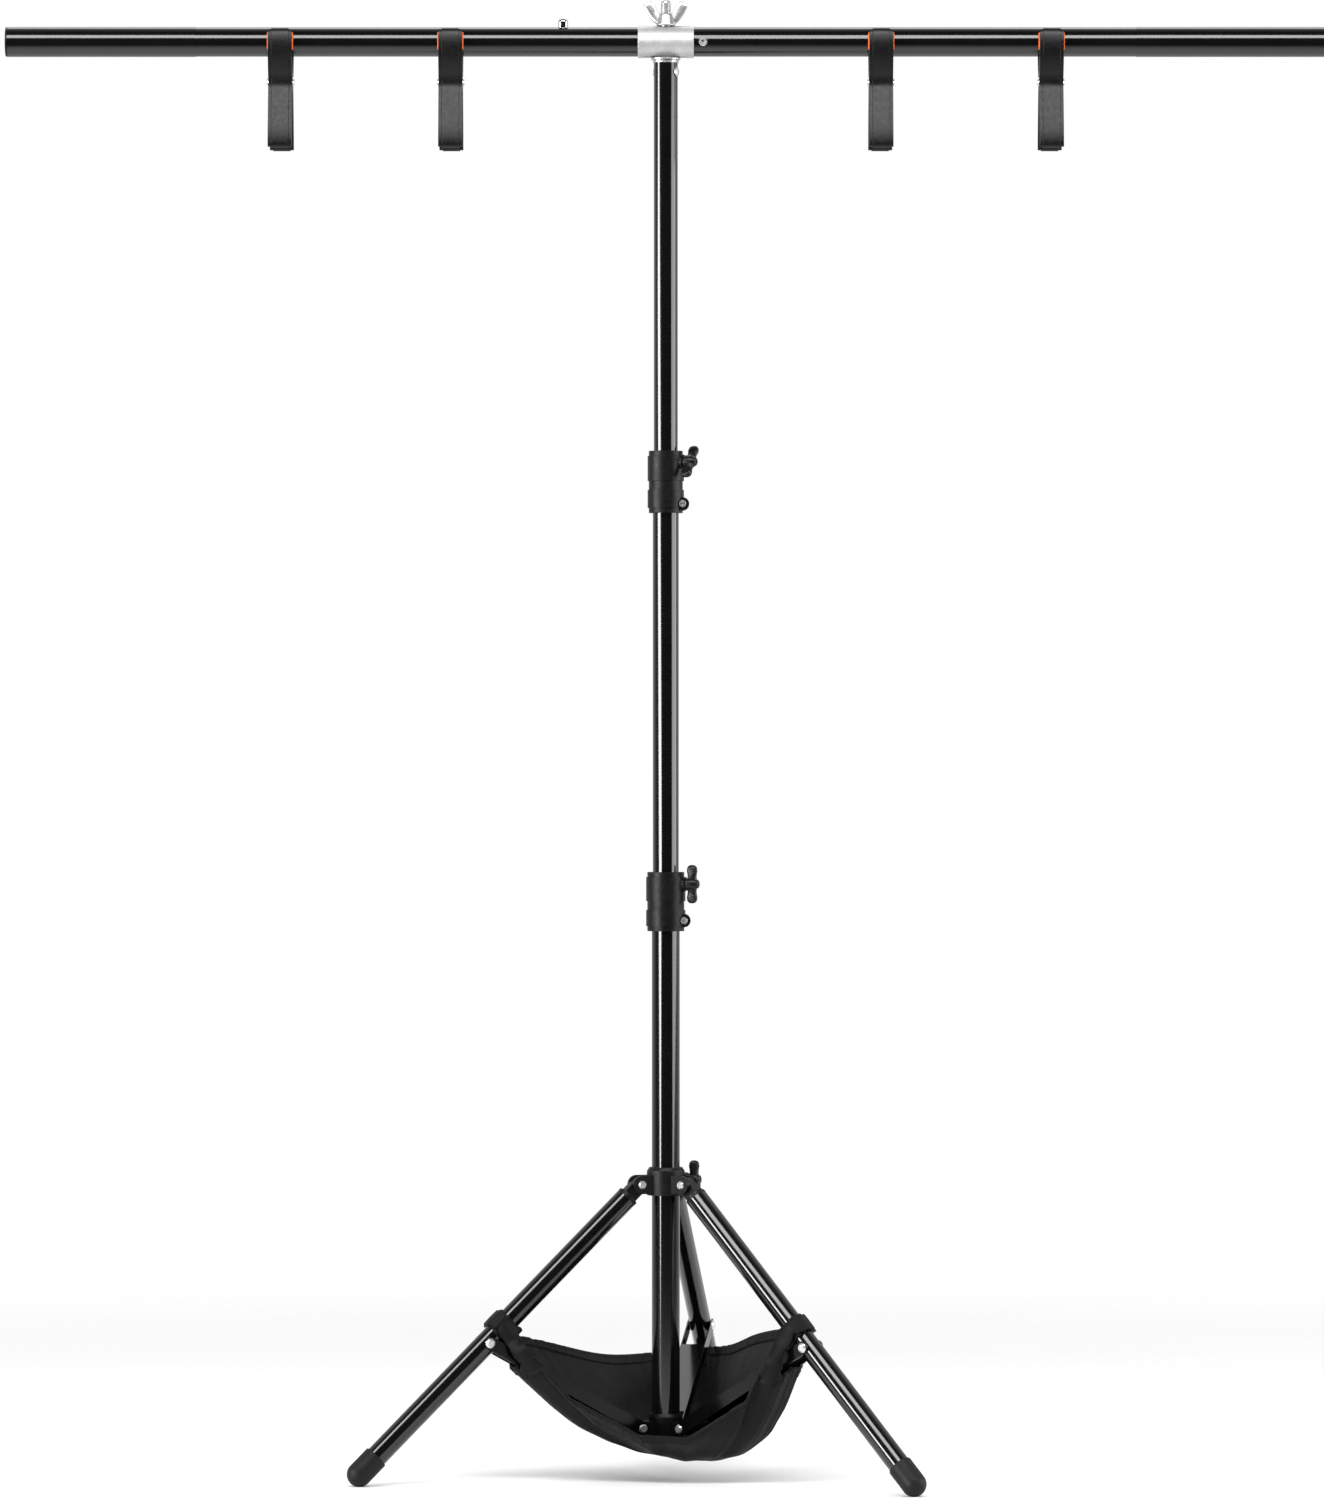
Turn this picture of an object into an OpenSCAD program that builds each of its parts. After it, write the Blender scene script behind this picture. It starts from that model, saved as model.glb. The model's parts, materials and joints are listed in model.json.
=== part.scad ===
/* [Crossbar] */
// Full length of the crossbar, end cap to end cap
bar_len = 1320; // [1200:10:1500]
// Outside diameter of the crossbar tubes
bar_d = 30; // [28:1:32]
// Length of the cast sleeve in the middle of the crossbar
sleeve_len = 56; // [50:1:64]
// Where each inner crossbar tube meets its outer tube, from the middle
seam_x = 470; // [440:10:520]

/* [Column] */
// Height of the crossbar's axis above the floor
bar_z = 1435; // [1410:1:1450]
// Outside diameter of the lower column tube
lower_d = 28; // [26:1:30]
// Top end of the lower column tube
lower_top = 562; // [550:1:575]
// Top end of the middle column tube
mid_top = 982; // [970:1:990]

/* [Tripod] */
// Outside diameter of the leg tubes
leg_d = 22; // [20:1:24]
// Height of the leg pivots on the sliding hub
hub_z = 293; // [280:1:300]
// Radius from the column to the leg and brace pivots
piv_r = 28; // [27:1:30]
// Radius from the column to the middle of each foot
foot_r = 320; // [300:1:330]
// Turn of the tripod about the column
tripod_turn = 19; // [0:1:60]

/* [Clamps] */
// Width of each spring clamp along the crossbar
clamp_w = 24; // [22:1:28]
// Height of the clamp hinge below the crossbar's axis
clamp_drop = 40; // [38:1:44]

/* [Hidden] */
oy = -52.09;
up = bar_z - 1423;
brace_r = 188;
low_z = 50;
foot_z = 12;
leg_dx = foot_r - piv_r;
leg_dz = hub_z - foot_z;
leg_len = sqrt(leg_dx*leg_dx + leg_dz*leg_dz);
leg_a = atan2(leg_dx, leg_dz);
pin_t = (brace_r - piv_r) / sin(leg_a);
pin_z = hub_z - pin_t*cos(leg_a);
br_len = sqrt(pow(brace_r - piv_r, 2) + pow(pin_z - low_z, 2));
br_a = atan2(brace_r - piv_r, pin_z - low_z);
az_l = 180 + tripod_turn;
az_r = 300 + tripod_turn;
az_b = 60 + tripod_turn;
azs = [az_l, az_r, az_b];
clamp_x = [-385, -215, 215, 385];
$fn = 48;

module tube(ro, ri, h) {
  difference() {
    cylinder(r = ro, h = h, $fn = 64);
    translate([0, 0, -1]) cylinder(r = ri, h = h + 2, $fn = 64);
  }
}
module at_col() { translate([0, oy, 0]) children(); }
module at_up() { translate([0, oy, up]) children(); }
module along_x() { rotate([0, 90, 0]) children(); }
module along_y() { rotate([-90, 0, 0]) children(); }

/* ---- column ---- */
module lower_tube() { color([0.03, 0.03, 0.03]) at_col() translate([0, 0, low_z - 8]) tube(lower_d/2, 13.3, lower_top + up - low_z + 8); }
module mid_tube() { color([0.03, 0.03, 0.03]) at_up() translate([0, 0, 455]) tube(13, 12.3, mid_top - 455); }
module top_tube() { color([0.03, 0.03, 0.03]) at_up() translate([0, 0, 880]) tube(12, 11.2, 1401.9 - 880); }

module pinch_collar(z0, z1, split, r_low, r_up, r_out, sx, sz, ka, kz) {
  difference() {
    union() {
      translate([0, 0, z0]) cylinder(r = r_out - 1.2, h = z1 - z0, $fn = 64);
      translate([0, 0, z0 + 5]) cylinder(r = r_out, h = split - z0 - 12, $fn = 64);
      translate([0, 0, split + 2]) cylinder(r = r_out, h = z1 - split - 7, $fn = 64);
      translate([sx, 0, sz]) along_y() translate([0, 0, -11]) cylinder(r = 6.6, h = 22);
      rotate([0, 0, ka]) translate([0, 0, kz]) along_x() cylinder(r = 7.2, h = r_out + 1.6);
    }
    translate([0, 0, z0 - 1]) cylinder(r = r_low, h = split - z0 + 1, $fn = 64);
    translate([0, 0, split - 0.01]) cylinder(r = r_up, h = z1 - split + 1, $fn = 64);
    translate([sx, 0, sz]) along_y() translate([0, 0, -20]) cylinder(r = 2.5, h = 40);
    for (s = [-1, 1]) translate([sx, s*14, sz]) along_y() cylinder(r = 4.6, h = 6, center = true);
    translate([10, -1, z0 - 1]) cube([20, 2, 18]);
    rotate([0, 0, ka]) translate([0, 0, kz]) along_x() cylinder(r = 3.05, h = 30);
  }
}
module pinch_screw(sx, sz) {
  translate([sx, 0, sz]) along_y() {
    translate([0, 0, -11]) cylinder(r = 2.5, h = 22);
    difference() {
      translate([0, 0, -13.4]) cylinder(r1 = 3.2, r2 = 3.8, h = 2.4);
      translate([-3, -0.5, -14.4]) cube([6, 1, 1.9]);
    }
    translate([0, 0, 11]) cylinder(r = 4, h = 3, $fn = 6);
  }
}
module liner(z0, z1, ri, ro, ka, kz) {
  difference() {
    translate([0, 0, z0]) tube(ro, ri, z1 - z0);
    rotate([0, 0, ka]) translate([0, 0, kz]) along_x() cylinder(r = 3.05, h = 30);
  }
}
module lower_collar() { color([0.05, 0.05, 0.05]) at_up() pinch_collar(534, 593, lower_top, 14, 15.3, 19.7, 18.2, 544.5, -20, 581); }
module lower_collar_screw() { color([0.8, 0.8, 0.8]) at_up() pinch_screw(18.2, 544.5); }
module lower_liner() { color([0.1, 0.1, 0.1]) at_up() liner(lower_top, 592.4, 13.05, 15.3, -20, 581); }
module upper_collar() { color([0.05, 0.05, 0.05]) at_up() pinch_collar(952, 1014, mid_top, 13, 14.3, 18.2, 16.8, 961, -24, 1003); }
module upper_collar_screw() { color([0.8, 0.8, 0.8]) at_up() pinch_screw(16.8, 961); }
module upper_liner() { color([0.1, 0.1, 0.1]) at_up() liner(mid_top, 1013.4, 12.05, 14.3, -24, 1003); }

module t_knob(r0, tilt) {
  union() {
    union() {
      translate([r0, 0, 0]) along_x() cylinder(r = 6.4, h = 9);
      translate([r0 + 8.9, 0, 0]) along_x() cylinder(r1 = 6.4, r2 = 3.6, h = 4);
      rotate([tilt, 0, 0]) {
        translate([r0 + 1.2, -3.2, -13.5]) cube([9.6, 6.4, 27]);
        for (s = [-1, 1]) translate([r0 + 6, 0, s*14]) {
          along_y() translate([0, 0, -3.2]) cylinder(r = 5.4, h = 6.4);
        }
      }
    }
  }
}
module k_screw(r_in, r0) { translate([r_in, 0, 0]) along_x() cylinder(r = 3, h = r0 + 7 - r_in); }
module lower_knob() { color([0.05, 0.05, 0.05]) at_up() rotate([0, 0, -20]) translate([0, 0, 581]) { t_knob(22, 0); k_screw(13.4, 22); } }
module upper_knob() { color([0.05, 0.05, 0.05]) at_up() rotate([0, 0, -24]) translate([0, 0, 1003]) { t_knob(20.6, -37); k_screw(12.4, 20.6); } }
module hub_knob() { color([0.05, 0.05, 0.05]) at_col() rotate([0, 0, tripod_turn]) translate([0, 0, hub_z + 4]) { t_knob(24, 0); k_screw(14.5, 24); } }

module top_plug() {
  color([0.8, 0.8, 0.8]) at_up() difference() {
    union() {
      translate([0, 0, 1370]) cylinder(r = 11.2, h = 31.9, $fn = 64);
      translate([0, 0, 1401.9]) cylinder(r = 13, h = 3, $fn = 64);
    }
    translate([0, 0, 1369]) cylinder(r = 5.1, h = 40);
    rotate([0, 0, -27]) translate([0, 0, 1393]) along_x() cylinder(r = 1.9, h = 40, center = true);
  }
}
module top_rivets() {
  color([0.8, 0.8, 0.8]) at_up() for (s = [0, 180]) rotate([0, 0, s - 27]) translate([0, 0, 1393]) along_x() {
    difference() {
      union() { translate([0, 0, 11.9]) cylinder(r = 4.6, h = 0.9); translate([0, 0, 12.8]) cylinder(r1 = 4.6, r2 = 3, h = 0.9); }
      translate([0, 0, 12.6]) cylinder(r = 1.2, h = 3);
      rotate([0, -90, 0]) cylinder(r = 12, h = 20, center = true, $fn = 64);
    }
  }
}
module stud() { color([0.75, 0.75, 0.75]) at_up() { translate([0, 0, 1370]) cylinder(r = 5.1, h = 93); translate([0, 0, 1463]) cylinder(r1 = 5.1, r2 = 4, h = 1.2); } }
module washer() { color([0.75, 0.75, 0.75]) at_up() translate([0, 0, 1404.9]) difference() { cylinder(r = 14.6, h = 2, $fn = 64); translate([0, 0, -1]) cylinder(r = 5.1, h = 4); } }
module wing_nut() {
  color([0.75, 0.75, 0.75]) at_col() difference() {
    union() {
      translate([0, 0, bar_z + 16.2]) cylinder(r = 9.5, h = 3);
      translate([0, 0, bar_z + 19.2]) cylinder(r1 = 9.2, r2 = 7.2, h = 9);
      for (s = [-1, 1]) {
        rotate([90, 0, 0]) linear_extrude(3.6, center = true)
          polygon([[s*4, bar_z + 18.2], [s*9, bar_z + 18.2], [s*14.5, bar_z + 26], [s*20.5, bar_z + 34.6], [s*17, bar_z + 39.4], [s*11, bar_z + 34], [s*6, bar_z + 27.5]]);
        translate([s*17.4, 0, bar_z + 35.6]) rotate([90, 0, 0]) cylinder(r = 4.1, h = 3.6, center = true);
      }
    }
    translate([0, 0, bar_z + 10]) cylinder(r = 5.15, h = 40);
  }
}

/* ---- crossbar ---- */
module bar_at(x0) { translate([x0, oy, bar_z]) along_x() children(); }
module t_sleeve() {
  color([0.8, 0.8, 0.8]) difference() {
    bar_at(-sleeve_len/2) tube(16, 14, sleeve_len);
    at_col() translate([0, 0, bar_z - 20]) cylinder(r = 5.45, h = 40);
  }
}
module bar_spigot() {
  color([0.03, 0.03, 0.03]) difference() {
    bar_at(-134) tube(14, 12.8, 198);
    at_col() translate([0, 0, bar_z - 20]) cylinder(r = 5.45, h = 40);
    translate([-102.6, oy, bar_z]) cylinder(r = 4.9, h = 40);
    translate([37.2, oy, bar_z - 1]) rotate([90, 0, 0]) cylinder(r = 2.4, h = 40);
  }
}
module bar_left_inner() {
  color([0.03, 0.03, 0.03]) difference() {
    bar_at(-seam_x) tube(bar_d/2 - 0.3, 14, seam_x - sleeve_len/2);
    translate([-102.6, oy, bar_z]) cylinder(r = 4.9, h = 40);
  }
}
module bar_right_inner() {
  color([0.03, 0.03, 0.03]) difference() {
    bar_at(sleeve_len/2) tube(bar_d/2 - 0.3, 14, seam_x - sleeve_len/2);
    translate([37.2, oy, bar_z - 1]) rotate([90, 0, 0]) cylinder(r = 2.4, h = 40);
  }
}
module bar_left_outer() { color([0.03, 0.03, 0.03]) bar_at(-bar_len/2 + 2) tube(bar_d/2, 14, bar_len/2 - 2 - seam_x); }
module bar_right_outer() { color([0.03, 0.03, 0.03]) bar_at(seam_x) tube(bar_d/2, 14, bar_len/2 - 2 - seam_x); }
module bar_caps() {
  color([0.06, 0.06, 0.06]) for (s = [-1, 1]) translate([s*(bar_len/2 - 2), oy, bar_z]) rotate([0, s*90, 0]) {
    cylinder(r = 14.7, h = 2);
    translate([0, 0, -16]) cylinder(r = 14, h = 16);
    translate([0, 0, -16 - (seam_x < 600 ? 0 : 0)]) cylinder(r = 13, h = 1);
  }
  color([0.06, 0.06, 0.06]) for (s = [-1, 1]) translate([s*seam_x, oy, bar_z]) along_x() translate([0, 0, -30]) tube(14, 12.8, 60);
}
module bar_rivet() {
  color([0.9, 0.9, 0.9]) translate([37.2, oy, bar_z - 1]) rotate([90, 0, 0]) difference() {
    union() { translate([0, 0, 12]) cylinder(r = 2.4, h = 3); translate([0, 0, 14.75]) cylinder(r1 = 4.3, r2 = 3.4, h = 1.6); }
    translate([0, 0, 14.2]) cylinder(r = 1.9, h = 4);
    rotate([0, 90, 0]) cylinder(r = 15, h = 0.01, center = true);
  }
}
module snap_button() {
  color([0.85, 0.85, 0.85]) translate([-102.6, oy, bar_z]) {
    cylinder(r = 6.4, h = 10.2);
    cylinder(r = 4.85, h = 20);
    translate([0, 0, 20]) intersection() { scale([1, 1, 0.82]) sphere(r = 4.85); translate([0, 0, 0]) cylinder(r = 6, h = 8); }
  }
}
module snap_spring() {
  color([0.6, 0.6, 0.6]) translate([-102.6, oy, bar_z]) {
    translate([-6, -3, -0.8]) cube([26, 6, 0.6]);
    translate([19.4, -3, -11.6]) cube([0.6, 6, 11.4]);
    translate([-26, -3, -12.2]) cube([46, 6, 0.6]);
  }
}

/* ---- clamps ---- */
module half_profile() {
  polygon([[5, 8], [10.5, 15], [16.4, 25], [19.2, 33], [19.2, 50], [22, 51], [24.6, 46], [25.6, 36], [23.4, 24], [17, 10],
    [12.5, 0], [14.6, -12], [20, -32], [25.4, -56], [26, -64], [23.6, -66.5], [20.8, -64.5], [16.5, -48], [10.6, -24], [5, -8]]);
}
module x_slab(w) { rotate([90, 0, 90]) linear_extrude(w, center = true) children(); }
module clamp_half(mid) {
  difference() {
    union() {
      difference() {
        x_slab(clamp_w) half_profile();
        along_x() cylinder(r = 10.8, h = 60, center = true);
      }
      if (mid) {
        x_slab(12.6) union() { intersection() { half_profile(); circle(r = 12); } circle(r = 9); polygon([[0, 8.5], [5, 8], [12.5, 0], [5, -8], [0, -8.5]]); }
      } else for (s = [-1, 1]) translate([s*(clamp_w/2 - 2.6), 0, 0])
        x_slab(5.2) union() { intersection() { half_profile(); circle(r = 12); } circle(r = 9); polygon([[0, 8.5], [5, 8], [12.5, 0], [5, -8], [0, -8.5]]); }
      for (r = [0, 1], c = [-1, 1]) translate([c*5.4, 24.6 - r*0.5, 30 + r*10]) rotate([-90, 0, 0]) cylinder(r = 3.4, h = 1.8);
    }
    along_x() cylinder(r = mid ? 3.05 : 3, h = 60, center = true);
    translate([0, 0, 43]) cube([8, 80, 18.2], center = true);
  }
}
module clamp_pos(i) { translate([clamp_x[i], oy, bar_z - clamp_drop]) children(); }
module clamp_bodies() { color([0.04, 0.04, 0.04]) for (i = [0:3]) clamp_pos(i) clamp_half(false); }
module clamp_jaw(i) { color([0.04, 0.04, 0.04]) clamp_pos(i) mirror([0, 1, 0]) clamp_half(true); }
module clamp_jaw_1() { clamp_jaw(0); }
module clamp_jaw_2() { clamp_jaw(1); }
module clamp_jaw_3() { clamp_jaw(2); }
module clamp_jaw_4() { clamp_jaw(3); }
module pad() { translate([-clamp_w/2 - 1, 15.3, 33]) cube([clamp_w + 2, 3.9, 15]); }
module clamp_pads() { color([1, 0.35, 0]) for (i = [0:3]) clamp_pos(i) pad(); }
module clamp_jaw_pad(i) { color([1, 0.35, 0]) clamp_pos(i) mirror([0, 1, 0]) pad(); }
module clamp_jaw_pad_1() { clamp_jaw_pad(0); }
module clamp_jaw_pad_2() { clamp_jaw_pad(1); }
module clamp_jaw_pad_3() { clamp_jaw_pad(2); }
module clamp_jaw_pad_4() { clamp_jaw_pad(3); }
module clamp_pivots() {
  color([0.8, 0.8, 0.8]) for (i = [0:3]) clamp_pos(i) {
    along_x() cylinder(r = 3, h = clamp_w + 1, center = true);
    for (s = [-1, 1]) translate([s*(clamp_w/2), 0, 0]) rotate([0, s*90, 0]) cylinder(r1 = 4.6, r2 = 3.4, h = 1.6);
  }
}

/* ---- tripod ---- */
module radial(az) { at_col() rotate([0, 0, az]) children(); }
module leg_hub() {
  color([0.05, 0.05, 0.05]) difference() {
    union() {
      at_col() {
        translate([0, 0, hub_z - 11]) cylinder(r = 19, h = 24, $fn = 64);
        translate([0, 0, hub_z + 13]) cylinder(r1 = 19, r2 = 16.6, h = 4, $fn = 64);
      }
      for (az = azs) radial(az) for (s = [-1, 1]) translate([0, s*8.3, hub_z]) along_y() translate([0, 0, -2]) {
        cylinder(r = 0.1, h = 4);
        translate([piv_r, 0, 0]) cylinder(r = 9.2, h = 4);
        translate([14, -9.2, 0]) cube([piv_r - 14, 18.4, 4]);
      }
      radial(tripod_turn) translate([0, 0, hub_z + 4]) along_x() cylinder(r = 7.4, h = 23);
    }
    at_col() translate([0, 0, 270]) cylinder(r = 14.3, h = 40, $fn = 64);
    for (az = azs) radial(az) translate([piv_r, 0, hub_z]) along_y() translate([0, 0, -20]) cylinder(r = 2.85, h = 40);
    radial(tripod_turn) translate([0, 0, hub_z + 4]) along_x() cylinder(r = 3.05, h = 40);
  }
}
module leg_hub_pins() {
  color([0.8, 0.8, 0.8]) for (az = azs) radial(az) translate([piv_r, 0, hub_z]) along_y() {
    translate([0, 0, -11]) cylinder(r = 2.85, h = 22);
    for (s = [0, 180]) rotate([s, 0, 0]) translate([0, 0, 10.3]) cylinder(r1 = 4.2, r2 = 3, h = 1.7);
  }
}
module leg_frame(az) { radial(az) translate([piv_r, 0, hub_z]) rotate([0, 180 - leg_a, 0]) children(); }
module leg_tube(az) { color([0.03, 0.03, 0.03]) leg_frame(az) translate([0, 0, 20]) tube(leg_d/2, 9.9, leg_len - 20 - 2); }
module leg_left() { leg_tube(az_l); }
module leg_right() { leg_tube(az_r); }
module leg_back() { leg_tube(az_b); }
module leg_top(az) {
  color([0.05, 0.05, 0.05]) leg_frame(az) difference() {
    union() {
      along_y() translate([0, 0, -6.1]) cylinder(r = 7.4, h = 12.2);
      translate([-7.4, -6.1, 0]) cube([14.8, 12.2, 17]);
      translate([0, 0, 16]) cylinder(r = leg_d/2, h = 4);
      translate([0, 0, 20]) cylinder(r = 9.9, h = 16);
    }
    along_y() translate([0, 0, -10]) cylinder(r = 2.9, h = 20);
  }
}
module leg_top_left() { leg_top(az_l); }
module leg_top_right() { leg_top(az_r); }
module leg_top_back() { leg_top(az_b); }
module foot(az) {
  color([0.04, 0.04, 0.04]) difference() {
    leg_frame(az) {
      translate([0, 0, leg_len - 24]) cylinder(r = 12.5, h = 24, $fn = 56);
      translate([0, 0, leg_len]) sphere(r = 12.5, $fn = 56);
    }
    leg_frame(az) translate([0, 0, leg_len - 26]) cylinder(r = leg_d/2, h = 24, $fn = 64);
    radial(az) translate([foot_r - 40, -40, -20]) cube([80, 80, 20]);
  }
}
module foot_left() { foot(az_l); }
module foot_right() { foot(az_r); }
module foot_back() { foot(az_b); }

module brace_frame(az) { radial(az) translate([piv_r, 0, low_z]) rotate([0, br_a, 0]) children(); }
module brace(az) {
  color([0.05, 0.05, 0.05]) brace_frame(az) difference() {
    union() {
      for (s = [-1, 1]) translate([0, s*11.95 - 0.6, 0]) {
        translate([-6.5, 0, 0]) cube([13, 1.2, br_len]);
        along_y() cylinder(r = 6.5, h = 1.2);
        translate([0, 0, br_len]) along_y() cylinder(r = 6.5, h = 1.2);
      }
      translate([-6.5, -12.4, 15]) cube([1.2, 24.8, br_len - 15 - 46]);
    }
    along_y() translate([0, 0, -20]) cylinder(r = 2.9, h = 40);
  }
}
module brace_left() { brace(az_l); }
module brace_right() { brace(az_r); }
module brace_back() { brace(az_b); }
module brace_rivet(az) {
  color([0.85, 0.85, 0.85]) brace_frame(az) translate([0, 0, br_len]) for (s = [0, 180]) rotate([s, 0, 0]) along_y() translate([0, 0, 12.55]) cylinder(r1 = 5, r2 = 3.2, h = 1.9);
}
module brace_rivet_left() { brace_rivet(az_l); }
module brace_rivet_right() { brace_rivet(az_r); }
module brace_rivet_back() { brace_rivet(az_b); }

module lower_hub() {
  color([0.05, 0.05, 0.05]) difference() {
    union() {
      at_col() { translate([0, 0, low_z - 10]) cylinder(r = 17, h = 20, $fn = 64); translate([0, 0, low_z + 10]) cylinder(r1 = 17, r2 = 15, h = 4, $fn = 64); }
      for (az = azs) radial(az) {
        translate([piv_r, 0, low_z]) along_y() translate([0, 0, -8]) cylinder(r = 6.5, h = 16);
        translate([12, -8, low_z - 6.5]) cube([piv_r - 12, 16, 13]);
      }
    }
    at_col() translate([0, 0, low_z - 8]) cylinder(r = 14, h = 40, $fn = 64);
    for (az = azs) radial(az) translate([piv_r, 0, low_z]) along_y() translate([0, 0, -20]) cylinder(r = 2.85, h = 40);
  }
}
module lower_hub_pins() {
  color([0.8, 0.8, 0.8]) for (az = azs) radial(az) translate([piv_r, 0, low_z]) along_y() {
    translate([0, 0, -13.5]) cylinder(r = 2.85, h = 27);
    for (s = [0, 180]) rotate([s, 0, 0]) translate([0, 0, 12.8]) cylinder(r1 = 4.6, r2 = 3.2, h = 1.7);
  }
}

/* ---- sling ---- */
sl_n = 48;
sl_m = 9;
function wrap120(a) = let (b = (a - az_b + 720) % 120) min(b, 120 - b);
function turn(a, b) = ((a - b + 900) % 360) - 180;
function ease(t) = let (u = min(1, max(0, t))) u*u*(3 - 2*u);
function corner_r(a) = abs(turn(a, az_l)) <= 60 ? 158 : abs(turn(a, az_r)) <= 60 ? 165 : 192;
function rim_r(a) = let (w = wrap120(a)) min(205*cos(60)/cos(60 - w)*(1 - 0.12*sin(1.5*w)), corner_r(a)/cos(w));
function line_at(r) = low_z + (max(piv_r, r) - piv_r)*(pin_z - low_z)/(brace_r - piv_r);
function brace_line(x) = line_at(abs(x)/(x < 0 ? -cos(az_l) : cos(az_r)));
function back_z(a) = let (d = turn(a, az_b), s = abs(d)/120) 112 + (d > 0 ? 38*s*s*s : 43*pow(s, 0.85));
function rim_z(a) = let (w = wrap120(a), d = abs(turn(a, az_b)), notch = line_at(rim_r(a)*cos(w)) - 13)
  d > 120 ? min(notch, brace_line(rim_r(a)*cos(a)) - 13 + 9*sin(1.5*w)) : d < 60 ? back_z(a) : notch + (back_z(a) - notch)*ease((w - 7.4)/7);
function toward(a, b) = pow(max(0, cos(a - b)), 2);
function sl_p(a) = 2.2 - 0.15*toward(a, az_l) + 1.5*toward(a, az_r);
sl_cx = 18;
sl_cy = -8;
function sl_pt(a, v, d) = let (r = rim_r(a), x = r*cos(a), y = r*sin(a)) [sl_cx + (x - sl_cx)*v, oy + sl_cy + (y - sl_cy)*v, 18 + d + (rim_z(a) - 18)*pow(v, sl_p(a))];
module sandbag() {
  color([0.08, 0.09, 0.09]) polyhedron(
    points = concat(
      [[sl_cx, oy + sl_cy, 18]], [for (j = [1:sl_m]) for (i = [0:sl_n - 1]) sl_pt(az_b + i*360/sl_n, j/sl_m, 0)],
      [[sl_cx, oy + sl_cy, 22]], [for (j = [1:sl_m]) for (i = [0:sl_n - 1]) sl_pt(az_b + i*360/sl_n, j/sl_m, 4)]),
    faces = concat(
      [for (i = [0:sl_n - 1]) [0, 1 + i, 1 + (i + 1) % sl_n]],
      [for (j = [0:sl_m - 2]) for (i = [0:sl_n - 1]) each let (a = 1 + j*sl_n + i, b = 1 + j*sl_n + (i + 1) % sl_n) [[a, a + sl_n, b], [b, a + sl_n, b + sl_n]]],
      [for (i = [0:sl_n - 1]) let (o = 1 + sl_m*sl_n) [o, o + 1 + (i + 1) % sl_n, o + 1 + i]],
      [for (j = [0:sl_m - 2]) for (i = [0:sl_n - 1]) each let (o = 2 + sl_m*sl_n, a = o + j*sl_n + i, b = o + j*sl_n + (i + 1) % sl_n) [[a, b, a + sl_n], [b, b + sl_n, a + sl_n]]],
      [for (i = [0:sl_n - 1]) each let (a = 1 + (sl_m - 1)*sl_n + i, b = 1 + (sl_m - 1)*sl_n + (i + 1) % sl_n, o = 1 + sl_m*sl_n) [[a, a + o, b], [b, a + o, b + o]]]));
}
module sling_straps() {
  color([0.08, 0.08, 0.08]) for (az = azs) leg_frame(az) translate([0, 0, az == az_b ? pin_t + 48 : pin_t - 33]) tube(12.6, leg_d/2, 22);
}

lower_tube();
lower_hub();
lower_hub_pins();
lower_collar();
lower_collar_screw();
lower_liner();
sandbag();
sling_straps();
leg_hub();
leg_hub_pins();
leg_left();
leg_right();
leg_back();
leg_top_left();
leg_top_right();
leg_top_back();
foot_left();
foot_right();
foot_back();
brace_left();
brace_right();
brace_back();
brace_rivet_left();
brace_rivet_right();
brace_rivet_back();
hub_knob();
lower_knob();
upper_knob();
mid_tube();
upper_collar();
upper_collar_screw();
upper_liner();
top_tube();
top_plug();
top_rivets();
stud();
washer();
wing_nut();
t_sleeve();
bar_spigot();
bar_left_inner();
bar_left_outer();
bar_right_inner();
bar_right_outer();
bar_caps();
bar_rivet();
snap_spring();
snap_button();
clamp_bodies();
clamp_pads();
clamp_pivots();
clamp_jaw_1();
clamp_jaw_2();
clamp_jaw_3();
clamp_jaw_4();
clamp_jaw_pad_1();
clamp_jaw_pad_2();
clamp_jaw_pad_3();
clamp_jaw_pad_4();
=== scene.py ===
import json
import math

import bmesh
import bpy
from mathutils import Matrix, Vector, noise


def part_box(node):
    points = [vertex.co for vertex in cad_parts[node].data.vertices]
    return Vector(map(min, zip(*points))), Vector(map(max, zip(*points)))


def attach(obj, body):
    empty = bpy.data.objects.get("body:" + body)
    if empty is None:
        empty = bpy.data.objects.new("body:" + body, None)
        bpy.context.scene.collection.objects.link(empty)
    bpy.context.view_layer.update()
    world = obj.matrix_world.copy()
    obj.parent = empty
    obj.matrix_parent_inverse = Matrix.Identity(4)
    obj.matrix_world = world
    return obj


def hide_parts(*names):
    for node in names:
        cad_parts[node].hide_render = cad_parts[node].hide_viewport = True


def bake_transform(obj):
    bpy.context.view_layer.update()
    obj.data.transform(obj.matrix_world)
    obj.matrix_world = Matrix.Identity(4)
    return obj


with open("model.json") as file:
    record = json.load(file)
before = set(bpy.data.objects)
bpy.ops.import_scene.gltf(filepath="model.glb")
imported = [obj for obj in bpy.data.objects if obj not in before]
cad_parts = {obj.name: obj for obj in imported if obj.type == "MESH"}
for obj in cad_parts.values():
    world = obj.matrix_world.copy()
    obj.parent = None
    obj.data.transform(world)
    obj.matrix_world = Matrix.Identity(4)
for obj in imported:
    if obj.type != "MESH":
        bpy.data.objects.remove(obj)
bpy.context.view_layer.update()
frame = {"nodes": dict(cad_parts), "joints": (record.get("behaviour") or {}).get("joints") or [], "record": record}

MM = 0.001
NODES = frame["nodes"]

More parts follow.
